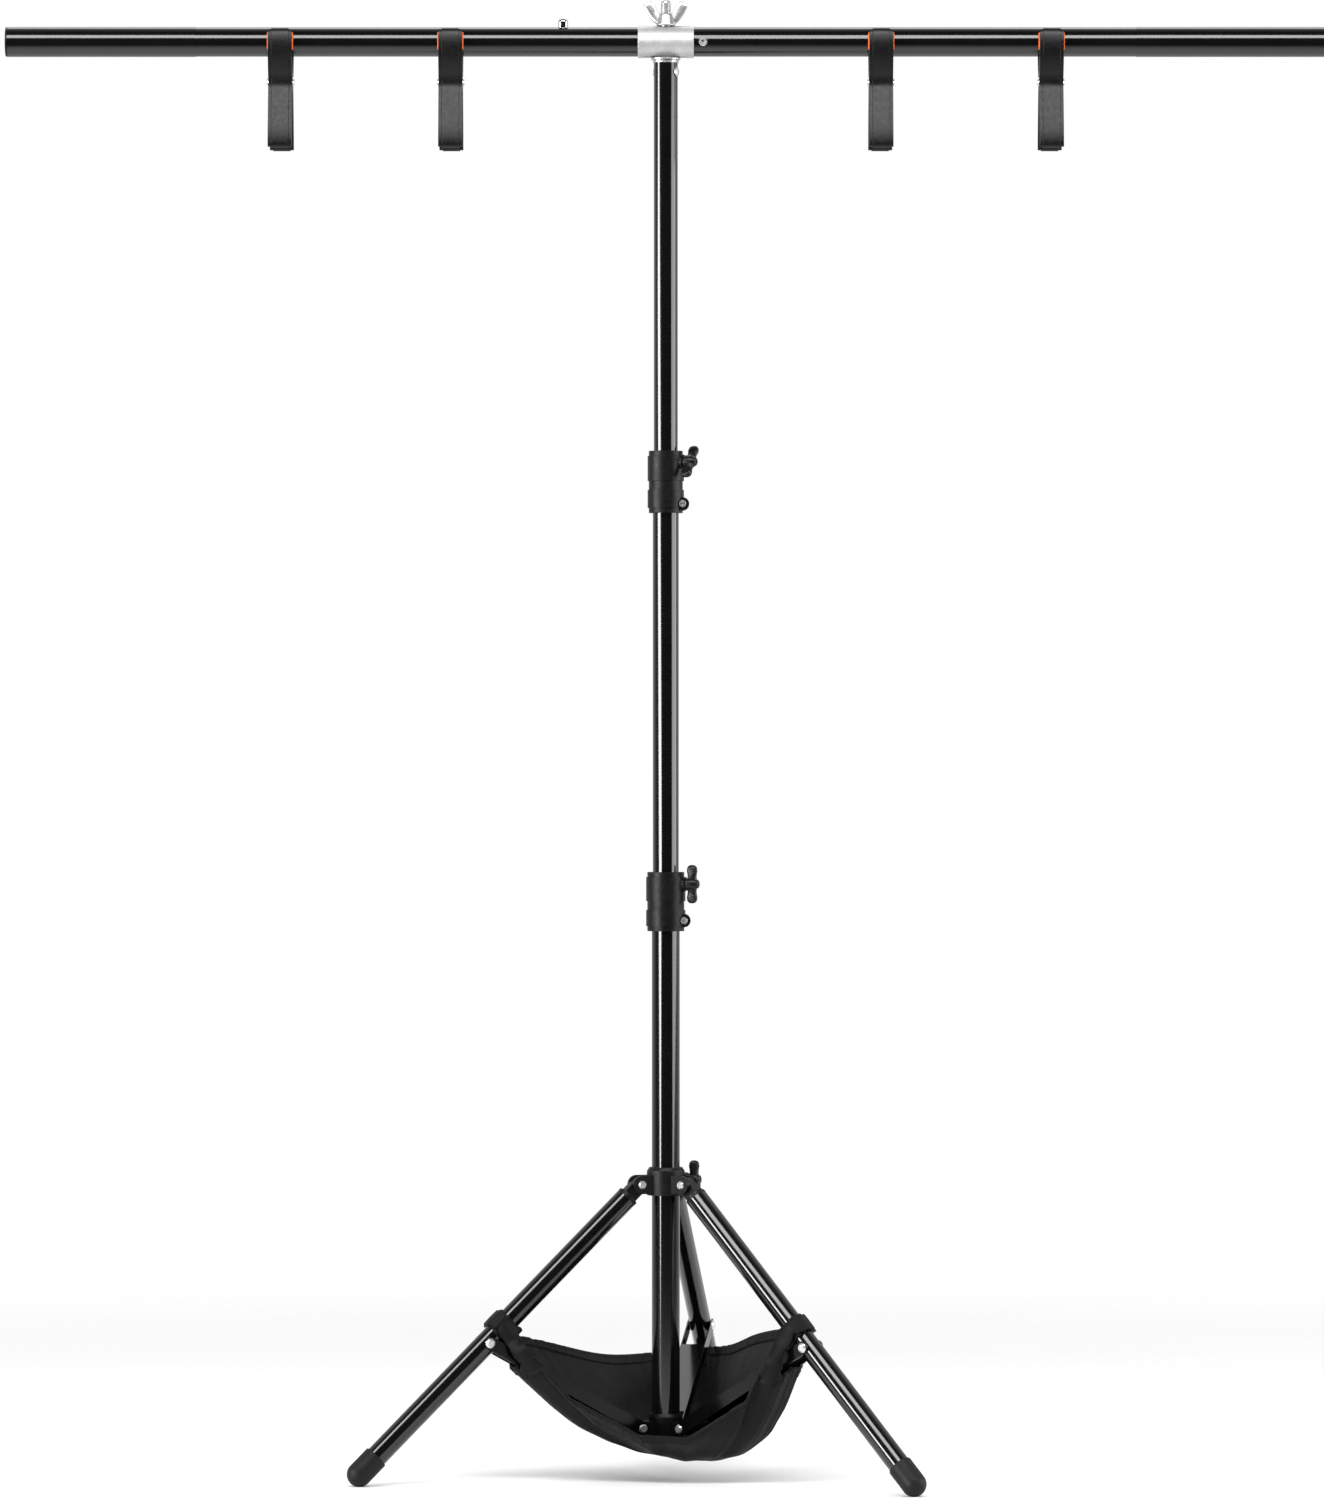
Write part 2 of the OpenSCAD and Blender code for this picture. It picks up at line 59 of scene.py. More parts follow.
# ---------------------------------------------------------------- camera
OY = (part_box("stud")[0].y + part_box("stud")[1].y) / 2
BAR_Z = (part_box("t_sleeve")[0].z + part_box("t_sleeve")[1].z) / 2
DIST = 8.0
cam_data = bpy.data.cameras.new("camera")
cam_data.sensor_fit = "VERTICAL"
cam_data.angle = 2 * math.atan(0.75 / DIST)
cam_data.clip_end = 60
cam = bpy.data.objects.new("camera", cam_data)
cam.location = (-0.0038, OY - DIST, 0.727)
cam.rotation_euler = (math.radians(90), 0, 0)
bpy.context.scene.collection.objects.link(cam)
bpy.context.scene.camera = cam


# ---------------------------------------------------------------- materials
def new_mat(name):
    m = bpy.data.materials.new(name)
    m.use_nodes = True
    nt = m.node_tree
    for n in list(nt.nodes):
        nt.nodes.remove(n)
    out = nt.nodes.new("ShaderNodeOutputMaterial")
    b = nt.nodes.new("ShaderNodeBsdfPrincipled")
    nt.links.new(b.outputs[0], out.inputs[0])
    return m, nt, b


def tex_noise(nt, scale, detail=4, rough=0.55, coord="Object", stretch=None):
    tc = nt.nodes.new("ShaderNodeTexCoord")
    mp = nt.nodes.new("ShaderNodeMapping")
    if stretch:
        mp.inputs["Scale"].default_value = stretch
    nt.links.new(tc.outputs[coord], mp.inputs[0])
    n = nt.nodes.new("ShaderNodeTexNoise")
    n.inputs["Scale"].default_value = scale
    n.inputs["Detail"].default_value = detail
    n.inputs["Roughness"].default_value = rough
    nt.links.new(mp.outputs[0], n.inputs["Vector"])
    return n


def ramp(nt, src, stops):
    r = nt.nodes.new("ShaderNodeValToRGB")
    el = r.color_ramp.elements
    while len(el) < len(stops):
        el.new(0.5)
    for e, (p, c) in zip(el, stops):
        e.position = p
        e.color = (*c, 1) if len(c) == 3 else c
    nt.links.new(src, r.inputs[0])
    return r


def remap(nt, src, lo, hi, a=0.0, b=1.0):
    r = nt.nodes.new("ShaderNodeMapRange")
    r.inputs["From Min"].default_value = a
    r.inputs["From Max"].default_value = b
    r.inputs["To Min"].default_value = lo
    r.inputs["To Max"].default_value = hi
    nt.links.new(src, r.inputs[0])
    return r


def bump(nt, src, strength, dist, prev=None):
    b = nt.nodes.new("ShaderNodeBump")
    b.inputs["Strength"].default_value = strength
    b.inputs["Distance"].default_value = dist
    nt.links.new(src, b.inputs["Height"])
    if prev:
        nt.links.new(prev.outputs[0], b.inputs["Normal"])
    return b


def generic(name, c1, c2, rough=(0.3, 0.4), metal=0.0, cscale=40, bscale=900, bstr=0.15, bdist=0.0002, coat=0.0, coat_rough=0.05, stretch=None, spec=0.5, sheen=0.0, worn=None):
    m, nt, b = new_mat(name)
    n1 = tex_noise(nt, cscale, 5, 0.6, stretch=stretch)
    stops = [(0.3, c1), (0.7, c2)]
    if worn:
        stops.append((worn[0], worn[1]))
    r = ramp(nt, n1.outputs["Fac"], stops)
    nt.links.new(r.outputs[0], b.inputs["Base Color"])
    n2 = tex_noise(nt, cscale * 3.1, 4, 0.6, stretch=stretch)
    rr = remap(nt, n2.outputs["Fac"], rough[0], rough[1], 0.3, 0.7)
    nt.links.new(rr.outputs[0], b.inputs["Roughness"])
    if bstr > 0:
        n3 = tex_noise(nt, bscale, 3, 0.6, stretch=stretch)
        bp = bump(nt, n3.outputs["Fac"], bstr, bdist)
        nt.links.new(bp.outputs[0], b.inputs["Normal"])
    b.inputs["Metallic"].default_value = metal
    b.inputs["Coat Weight"].default_value = coat
    b.inputs["Coat Roughness"].default_value = coat_rough
    b.inputs["Specular IOR Level"].default_value = spec
    if sheen:
        b.inputs["Sheen Weight"].default_value = sheen
        b.inputs["Sheen Roughness"].default_value = 0.5
    return m


M = {}
M["enamel"] = generic("black_enamel", (0.0022, 0.0022, 0.0024), (0.0034, 0.0034, 0.0036), rough=(0.11, 0.13), cscale=18, bstr=0.0, coat=0.25, coat_rough=0.06)
M["brace_enamel"] = generic("brace_enamel", (0.0014, 0.0014, 0.0014), (0.0026, 0.0026, 0.0026), rough=(0.13, 0.17), cscale=60, bstr=0.0, coat=0.1, coat_rough=0.08, spec=0.22)
M["plastic"] = generic("black_plastic", (0.0022, 0.0022, 0.0023), (0.0038, 0.0038, 0.004), rough=(0.34, 0.46), cscale=70, bscale=2600, bstr=0.3, bdist=0.00012, spec=0.2)
M["knob"] = generic("knob_plastic", (0.0022, 0.0022, 0.0023), (0.004, 0.004, 0.0042), rough=(0.28, 0.38), cscale=90, bscale=2200, bstr=0.25, bdist=0.0001, spec=0.25)
M["liner"] = generic("nylon_liner", (0.008, 0.008, 0.008), (0.013, 0.013, 0.013), rough=(0.4, 0.55), cscale=120, bscale=1800, bstr=0.2)
M["rubber"] = generic("foot_rubber", (0.003, 0.003, 0.003), (0.006, 0.006, 0.0058), rough=(0.42, 0.6), cscale=120, bscale=1500, bstr=0.3, bdist=0.0002, spec=0.22)
M["alu"] = generic("cast_aluminium", (0.42, 0.42, 0.425), (0.55, 0.55, 0.555), rough=(0.42, 0.56), metal=0.7, cscale=110, bscale=1400, bstr=0.5, bdist=0.00025)
M["zinc"] = generic("zinc_plate", (0.40, 0.40, 0.395), (0.54, 0.54, 0.535), rough=(0.24, 0.38), metal=0.8, cscale=160, bscale=1500, bstr=0.18, bdist=0.0001)
M["rivet"] = generic("bright_rivet", (0.58, 0.58, 0.58), (0.72, 0.72, 0.72), rough=(0.2, 0.32), metal=0.75, cscale=300, bscale=2500, bstr=0.15, bdist=0.0001)
M["chrome"] = generic("chrome_button", (0.42, 0.42, 0.43), (0.50, 0.50, 0.51), rough=(0.06, 0.12), metal=1.0, cscale=200, bscale=1500, bstr=0.04, bdist=0.0001)
M["steel"] = generic("spring_steel", (0.32, 0.32, 0.33), (0.46, 0.46, 0.46), rough=(0.25, 0.38), metal=1.0, cscale=200, bscale=2000, bstr=0.1)
M["orange"] = generic("orange_pad", (0.92, 0.115, 0.001), (1.0, 0.15, 0.003), rough=(0.42, 0.56), cscale=120, bscale=1600, bstr=0.3, bdist=0.00015)
M["clamp"] = generic("clamp_nylon", (0.0028, 0.0028, 0.003), (0.005, 0.005, 0.0053), rough=(0.3, 0.42), cscale=80, bscale=2400, bstr=0.25, bdist=0.00012, spec=0.28)


def stipple_mat():
    m, nt, b = new_mat("clamp_stipple")
    tc = nt.nodes.new("ShaderNodeTexCoord")
    v = nt.nodes.new("ShaderNodeTexVoronoi")
    v.inputs["Scale"].default_value = 620
    nt.links.new(tc.outputs["Object"], v.inputs["Vector"])
    r = remap(nt, v.outputs["Distance"], 1.0, 0.0, 0.1, 0.55)
    bp = bump(nt, r.outputs[0], 0.8, 0.0005)
    nt.links.new(bp.outputs[0], b.inputs["Normal"])
    c = ramp(nt, v.outputs["Distance"], [(0.0, (0.0065, 0.0065, 0.0065)), (0.6, (0.0025, 0.0025, 0.0025))])
    b.inputs["Specular IOR Level"].default_value = 0.15
    nt.links.new(c.outputs[0], b.inputs["Base Color"])
    n = tex_noise(nt, 200)
    rr = remap(nt, n.outputs["Fac"], 0.45, 0.6)
    nt.links.new(rr.outputs[0], b.inputs["Roughness"])
    return m


M["stipple"] = stipple_mat()


def weave_mat(name, c_lo, c_hi, period, rough=0.6, rib=False, sheen=0.25):
    """Woven nylon: UVs are in metres along warp and weft."""
    m, nt, b = new_mat(name)
    tc = nt.nodes.new("ShaderNodeTexCoord")
    sep = nt.nodes.new("ShaderNodeSeparateXYZ")
    nt.links.new(tc.outputs["UV"], sep.inputs[0])

    def wave(sock, phase):
        mul = nt.nodes.new("ShaderNodeMath")
        mul.operation = "MULTIPLY_ADD"
        mul.inputs[1].default_value = 2 * math.pi / period
        mul.inputs[2].default_value = phase
        nt.links.new(sock, mul.inputs[0])
        s = nt.nodes.new("ShaderNodeMath")
        s.operation = "SINE"
        nt.links.new(mul.outputs[0], s.inputs[0])
        return s

    a, c = wave(sep.outputs[0], 0.0), wave(sep.outputs[1], 1.57)
    mul = nt.nodes.new("ShaderNodeMath")
    mul.operation = "MULTIPLY"
    nt.links.new(a.outputs[0], mul.inputs[0])
    nt.links.new(c.outputs[0], mul.inputs[1])
    src = c if rib else mul
    n0 = tex_noise(nt, 60, 5, 0.6, coord="UV")
    mix = nt.nodes.new("ShaderNodeMath")
    mix.operation = "MULTIPLY_ADD"
    mix.inputs[1].default_value = 0.35
    nt.links.new(src.outputs[0], mix.inputs[0])
    nt.links.new(n0.outputs["Fac"], mix.inputs[2])
    r = ramp(nt, mix.outputs[0], [(0.25, c_lo), (0.85, c_hi)])
    nt.links.new(r.outputs[0], b.inputs["Base Color"])
    rr = remap(nt, n0.outputs["Fac"], rough - 0.07, rough + 0.08, 0.3, 0.7)
    nt.links.new(rr.outputs[0], b.inputs["Roughness"])
    bp = bump(nt, src.outputs[0], 0.35, 0.00022)
    n1 = tex_noise(nt, 14, 4, 0.55, coord="UV")
    bp2 = bump(nt, n1.outputs["Fac"], 0.25, 0.004, bp)
    nt.links.new(bp2.outputs[0], b.inputs["Normal"])
    b.inputs["Sheen Weight"].default_value = sheen
    b.inputs["Sheen Roughness"].default_value = 0.45
    b.inputs["Specular IOR Level"].default_value = 0.16
    return m


M["fabric"] = weave_mat("sling_nylon", (0.0032, 0.0038, 0.0036), (0.0062, 0.0074, 0.0070), 0.0011, sheen=0.03)
# the outer face of the sling gets a darker copy of the same nylon with no sheen: painted shade for the side that faces
# down and away from the top lights
M["fabric_out"] = weave_mat("sling_nylon_outside_painted_shade", (0.0012, 0.0014, 0.0014), (0.0028, 0.0033, 0.0031), 0.0011, rough=0.5, sheen=0.0)
M["webbing"] = weave_mat("webbing", (0.0009, 0.001, 0.001), (0.0022, 0.0024, 0.0024), 0.0016, rough=0.55, rib=True, sheen=0.0)

FLOOR = generic("floor_paper", (0.86, 0.86, 0.86), (0.88, 0.88, 0.88), rough=(0.7, 0.8), cscale=3, bscale=300, bstr=0.02)


# ---------------------------------------------------------------- mesh helpers
def link(name, me, mat, body):
    o = bpy.data.objects.new(name, me)
    bpy.context.scene.collection.objects.link(o)
    for x in mat if isinstance(mat, (list, tuple)) else [mat]:
        me.materials.append(x)
    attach(o, body)
    return o


def smooth(o, deg=35):
    me = o.data
    for p in me.polygons:
        p.use_smooth = True
    me.set_sharp_from_angle(angle=math.radians(deg))


def add_bevel(o, w, seg=3, angle=32, weld=False):
    if weld:
        wd = o.modifiers.new("weld", "WELD")
        wd.merge_threshold = 0.00002
    b = o.modifiers.new("bevel", "BEVEL")
    b.width = w
    b.segments = seg
    b.limit_method = "ANGLE"
    b.angle_limit = math.radians(angle)
    b.harden_normals = False
    b.miter_outer = "MITER_ARC"
    return b


def mesh_from(name, verts, faces, uvs=None):
    me = bpy.data.meshes.new(name)
    me.from_pydata([tuple(v) for v in verts], [], faces)
    if uvs:
        layer = me.uv_layers.new(name="UVMap")
        for l in me.loops:
            layer.data[l.index].uv = uvs[l.vertex_index]
    me.validate()
    me.update()
    return me


def revolve(profile, n=40, cap0=True, cap1=True):
    """Profile of (radius, height) turned round Z; returns verts, faces."""
    verts, faces = [], []
    for r, z in profile:
        for i in range(n):
            a = 2 * math.pi * i / n
            verts.append(Vector((r * math.cos(a), r * math.sin(a), z)))
    for j in range(len(profile) - 1):
        for i in range(n):
            k = (i + 1) % n
            faces.append((j * n + i, j * n + k, (j + 1) * n + k, (j + 1) * n + i))
    if cap0:
        faces.append(tuple(reversed(range(n))))
    if cap1:
        b = (len(profile) - 1) * n
        faces.append(tuple(range(b, b + n)))
    return verts, faces


def catmull(pts, per=6, closed=True):
    out = []
    n = len(pts)
    for i in range(n if closed else n - 1):
        p0, p1, p2, p3 = (Vector(pts[(i + k - 1) % n]) if closed else Vector(pts[min(max(i + k - 1, 0), n - 1)]) for k in range(4))
        for s in range(per):
            t = s / per
            out.append(0.5 * ((2 * p1) + (p2 - p0) * t + (2 * p0 - 5 * p1 + 4 * p2 - p3) * t * t + (3 * p1 - p0 - 3 * p2 + p3) * t ** 3))
    if not closed:
        out.append(Vector(pts[-1]))
    return out


def merge(parts):
    """parts: list of (verts, faces, matrix, material index) -> verts, faces, mats"""
    V, F, MI = [], [], []
    for verts, faces, mat, mi in parts:
        base = len(V)
        V += [mat @ Vector(v) for v in verts]
        flip = mat.to_3x3().determinant() < 0
        for f in faces:
            f = tuple(base + i for i in f)
            F.append(tuple(reversed(f)) if flip else f)
            MI.append(mi)
    return V, F, MI


def box_mesh(x0, y0, z0, x1, y1, z1):
    v = [(x, y, z) for x in (x0, x1) for y in (y0, y1) for z in (z0, z1)]
    f = [(0, 1, 3, 2), (4, 6, 7, 5), (0, 4, 5, 1), (2, 3, 7, 6), (0, 2, 6, 4), (1, 5, 7, 3)]
    return v, f


def extrude_x(outline, w):
    """closed outline of (y, z) points, extruded along X, centred."""
    n = len(outline)
    v = [(-w / 2, p[0], p[1]) for p in outline] + [(w / 2, p[0], p[1]) for p in outline]
    area = sum(outline[i][0] * outline[(i + 1) % n][1] - outline[(i + 1) % n][0] * outline[i][1] for i in range(n))
    f = [(i, (i + 1) % n, n + (i + 1) % n, n + i) for i in range(n)]
    caps = [tuple(reversed(range(n))), tuple(range(n, 2 * n))]
    f = f + caps
    if area > 0:
        pass
    else:
        f = [tuple(reversed(x)) for x in f]
    return v, f


def build(name, parts, mats, body, scale=MM, at=Matrix.Identity(4), bevel=None, deg=35, sub=0):
    V, F, MI = merge(parts)
    V = [at @ (v * scale) for v in V]
    me = mesh_from(name, V, F)
    o = link(name, me, mats, body)
    for p, mi in zip(me.polygons, MI):
        p.material_index = mi
    bm = bmesh.new()
    bm.from_mesh(me)
    bmesh.ops.recalc_face_normals(bm, faces=bm.faces)
    bm.to_mesh(me)
    bm.free()
    smooth(o, deg)
    if bevel:
        add_bevel(o, *bevel)
    if sub:
        s = o.modifiers.new("sub", "SUBSURF")
        s.levels = s.render_levels = sub
    return o


I4 = Matrix.Identity(4)
T = Matrix.Translation


def R(deg, ax):
    return Matrix.Rotation(math.radians(deg), 4, ax)


# ---------------------------------------------------------------- CAD nodes kept: finish and soft edges
KEEP = {
    "lower_tube": ("enamel", 0.0), "mid_tube": ("enamel", 0.0), "top_tube": ("enamel", 0.0),
    "lower_hub": ("plastic", 0.0007), "lower_hub_pins": ("rivet", 0.0003),
    "lower_collar": ("plastic", 0.0006), "upper_collar": ("plastic", 0.0006),
    "lower_collar_screw": ("zinc", 0.0003), "upper_collar_screw": ("zinc", 0.0003),
    "lower_liner": ("liner", 0.0003), "upper_liner": ("liner", 0.0003),
    "leg_hub": ("plastic", 0.0008), "leg_hub_pins": ("rivet", 0.0003),
    "leg_left": ("enamel", 0.0), "leg_right": ("enamel", 0.0), "leg_back": ("enamel", 0.0),
    "leg_top_left": ("plastic", 0.0006), "leg_top_right": ("plastic", 0.0006), "leg_top_back": ("plastic", 0.0006),
    "foot_left": ("rubber", 0.0005), "foot_right": ("rubber", 0.0005), "foot_back": ("rubber", 0.0005),
    "brace_left": ("brace_enamel", 0.0003), "brace_right": ("brace_enamel", 0.0003), "brace_back": ("brace_enamel", 0.0003),
    "brace_rivet_left": ("rivet", 0.0003), "brace_rivet_right": ("rivet", 0.0003), "brace_rivet_back": ("rivet", 0.0003),
    "top_plug": ("zinc", 0.0003), "top_rivets": ("rivet", 0.0003), "washer": ("zinc", 0.0003),
    "t_sleeve": ("alu", 0.0006), "bar_spigot": ("zinc", 0.0),
    "bar_left_inner": ("enamel", 0.0), "bar_left_outer": ("enamel", 0.0),
    "bar_right_inner": ("enamel", 0.0), "bar_right_outer": ("enamel", 0.0),
    "bar_caps": ("plastic", 0.0004), "bar_rivet": ("rivet", 0.0003), "snap_spring": ("steel", 0.0002), "snap_button": ("chrome", 0.0003),
    "clamp_pivots": ("rivet", 0.0004),
}
for name, (mat, w) in KEEP.items():
    o = NODES.get(name)
    if o is None:
        continue
    o.data.materials.clear()
    o.data.materials.append(M[mat])
    smooth(o, 30)
    if w:
        add_bevel(o, w, 3, 32, weld=True)
        n = o.modifiers.new("normals", "WEIGHTED_NORMAL")
        n.keep_sharp = True


# ---------------------------------------------------------------- stud with its thread
def thread(r, z0, z1, pitch, depth, n=36):
    turns = (z1 - z0) / pitch
    prof = [(0.0, -depth), (0.22, -depth), (0.5, 0.0), (0.62, 0.0), (0.92, -depth)]
    verts, faces = [], []
    rows = int(turns * n)
    for k in range(rows + 1):
        a = 2 * math.pi * k / n
        for f, d in prof:
            z = z0 + pitch * (k / n + f - 1)
            z = min(max(z, z0), z1)
            verts.append(Vector(((r + d) * math.cos(a), (r + d) * math.sin(a), z)))
    m = len(prof)
    for k in range(rows):
        for j in range(m - 1):
            faces.append((k * m + j, (k + 1) * m + j, (k + 1) * m + j + 1, k * m + j + 1))
        # close up to the next turn's first point
        if k + n + 1 <= rows:
            faces.append((k * m + m - 1, (k + 1) * m + m - 1, (k + 1 + n) * m, (k + n) * m))
    return verts, faces


b0, b1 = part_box("stud")
zt0, zt1 = b0.z / MM, b1.z / MM
core = revolve([(4.55, zt0), (4.55, zt1 - 1.2), (3.6, zt1)], 36)
th = thread(5.1, BAR_Z / MM + 24.5, zt1 - 1.6, 1.5, 0.52)
plain = revolve([(5.1, zt0), (5.1, BAR_Z / MM + 24.5)], 36)
stud = build("stud_thread", [(*core, I4, 0), (*th, I4, 0), (*plain, I4, 0)], M["zinc"], "top", at=T((0, OY, 0)), deg=40)
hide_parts("stud")


# ---------------------------------------------------------------- wing nut
def wing_nut():
    z = BAR_Z / MM + 16.2
    hub = revolve([(5.15, z + 0.6), (5.9, z), (9.0, z), (9.5, z + 0.5), (9.5, z + 2.6), (9.0, z + 3.4), (8.6, z + 5), (7.9, z + 9), (7.3, z + 11.4), (6.7, z + 12.0), (5.6, z + 12.0), (5.15, z + 11.5)], 48, False, False)
    v, f = hub
    n = 48
    last = (12 - 1) * n
    f = f + [(last + i, last + (i + 1) % n, (i + 1) % n, i) for i in range(n)]
    parts = [(v, f, I4, 0)]
    # one wing: a tapering blade swept up and out
    rows = []
    line = [(6.2, z + 5.6, 5.0, 3.0), (8.6, z + 7.4, 5.2, 2.6), (11.0, z + 10.4, 5.1, 2.1), (13.4, z + 14.0, 5.1, 1.9), (15.6, z + 17.8, 5.2, 1.8), (17.0, z + 20.4, 5.1, 1.7), (17.9, z + 22.0, 4.6, 1.5), (18.3, z + 22.8, 3.6, 0.9)]
    for k, (x, zz, half, th_) in enumerate(line):
        nx = line[min(k + 1, len(line) - 1)][0] - line[max(k - 1, 0)][0]
        nz = line[min(k + 1, len(line) - 1)][1] - line[max(k - 1, 0)][1]
        l = math.hypot(nx, nz)
        px, pz = -nz / l, nx / l
        ring = []
        for i in range(16):
            a = 2 * math.pi * i / 16
            ca, sa = math.cos(a), math.sin(a)
            u = math.copysign(abs(ca) ** 0.75, ca) * half
            w = math.copysign(abs(sa) ** 0.75, sa) * th_
            ring.append(Vector((x + px * u, w, zz + pz * u)))
        rows.append(ring)
    wv = [p for ring in rows for p in ring]
    wf = [(j * 16 + i, j * 16 + (i + 1) % 16, (j + 1) * 16 + (i + 1) % 16, (j + 1) * 16 + i) for j in range(len(rows) - 1) for i in range(16)]
    wf += [tuple(reversed(range(16))), tuple(range((len(rows) - 1) * 16, len(rows) * 16))]
    parts.append((wv, wf, I4, 0))
    parts.append((wv, wf, R(180, "Z"), 0))
    return parts


wn = build("wing_nut_cast", wing_nut(), M["zinc"], "wing", at=T((0, OY, 0)), deg=38)
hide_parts("wing_nut")


# ---------------------------------------------------------------- T knobs
def knob_parts(r0, tilt, r_in):
    rt = R(tilt, "X")
    to_x = R(90, "Y")
    hub = revolve([(3.0, r0), (5.6, r0), (6.4, r0 + 0.7), (6.4, r0 + 8.2), (6.0, r0 + 9.2), (4.9, r0 + 10.6), (4.1, r0 + 12.3), (3.2, r0 + 12.9), (1.2, r0 + 12.9), (1.2, r0 + 12.3)], 40, True, True)
    parts = [(*hub, to_x, 0)]
    # wing: rounded bar with finger scallops, built as a loft along Z
    rows = []
    prof = [(-19.2, 1.2, 1.0), (-18.6, 3.2, 2.0), (-16.8, 4.7, 2.9), (-13.5, 5.3, 3.2), (-10, 4.6, 3.0), (-7, 4.3, 3.3), (-3.5, 4.7, 4.4), (0, 4.9, 4.9), (3.5, 4.7, 4.4), (7, 4.3, 3.3), (10, 4.6, 3.0), (13.5, 5.3, 3.2), (16.8, 4.7, 2.9), (18.6, 3.2, 2.0), (19.2, 1.2, 1.0)]
    for zz, hx, hy in prof:
        ring = []
        for i in range(20):
            a = 2 * math.pi * i / 20
            ca, sa = math.cos(a), math.sin(a)
            ring.append(Vector((r0 + 6.0 + math.copysign(abs(ca) ** 0.6, ca) * hx, math.copysign(abs(sa) ** 0.6, sa) * hy, zz)))
        rows.append(ring)
    v = [p for r_ in rows for p in r_]
    f = [(j * 20 + i, j * 20 + (i + 1) % 20, (j + 1) * 20 + (i + 1) % 20, (j + 1) * 20 + i) for j in range(len(rows) - 1) for i in range(20)]
    f += [tuple(reversed(range(20))), tuple(range((len(rows) - 1) * 20, len(rows) * 20))]
    parts.append((v, f, rt, 0))
    shank = revolve([(3.0, r_in), (3.0, r0 + 4)], 32)
    parts.append((*shank, to_x, 1))
    # small ribs on each wing face
    for s in (-1, 1):
        for zc in (11.4, 13.6, 15.8):
            bx = box_mesh(r0 + 3.0, -3.3, s * zc - 0.35, r0 + 9.4, 3.3, s * zc + 0.35)
            parts.append((*bx, rt, 0))
    return parts


def knob(name, node, body, az, z, r0, tilt, r_in):
    at = T((0, OY, z * MM)) @ R(az, "Z")
    o = build(name, knob_parts(r0, tilt, r_in), [M["knob"], M["zinc"]], body, at=at, deg=40)
    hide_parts(node)
    return o


J = {j["name"]: j for j in frame["joints"]}


def joint_az_z(n):
    a = J[n]["axis"]
    return math.degrees(math.atan2(a[1], a[0])), J[n]["pos_m"][2] / MM


for nm, node, body, r0, tilt, rin in (("lower_t_knob", "lower_knob", "lower_knob", 22, 0, 13.4), ("upper_t_knob", "upper_knob", "upper_knob", 20.6, -37, 12.4), ("hub_t_knob", "hub_knob", "hub_knob", 24, 0, 14.5)):
    az, z = joint_az_z({"lower_knob": "lower_knob_turn", "upper_knob": "upper_knob_turn", "hub_knob": "hub_knob_turn"}[body])
    knob(nm, node, body, az, z, r0, tilt, rin)

# ---------------------------------------------------------------- spring clamps
CW = 24.0
HALF = [[10.3, 13.5], [13.6, 19.5], [17.2, 26.5], [19.2, 33.5], [19.3, 42], [19.3, 50], [20.6, 51.2], [22.6, 50.2], [24.4, 46], [25.4, 36], [23.4, 24.5], [18.6, 12.5], [14.6, 4.5],
        [12.9, -2.5], [14.9, -12], [19.6, -31], [24.2, -50], [26.0, -62], [24.9, -66.0], [22.4, -66.2], [20.6, -62], [16.8, -48], [12.6, -32], [8.6, -18], [7.6, -10.5]]


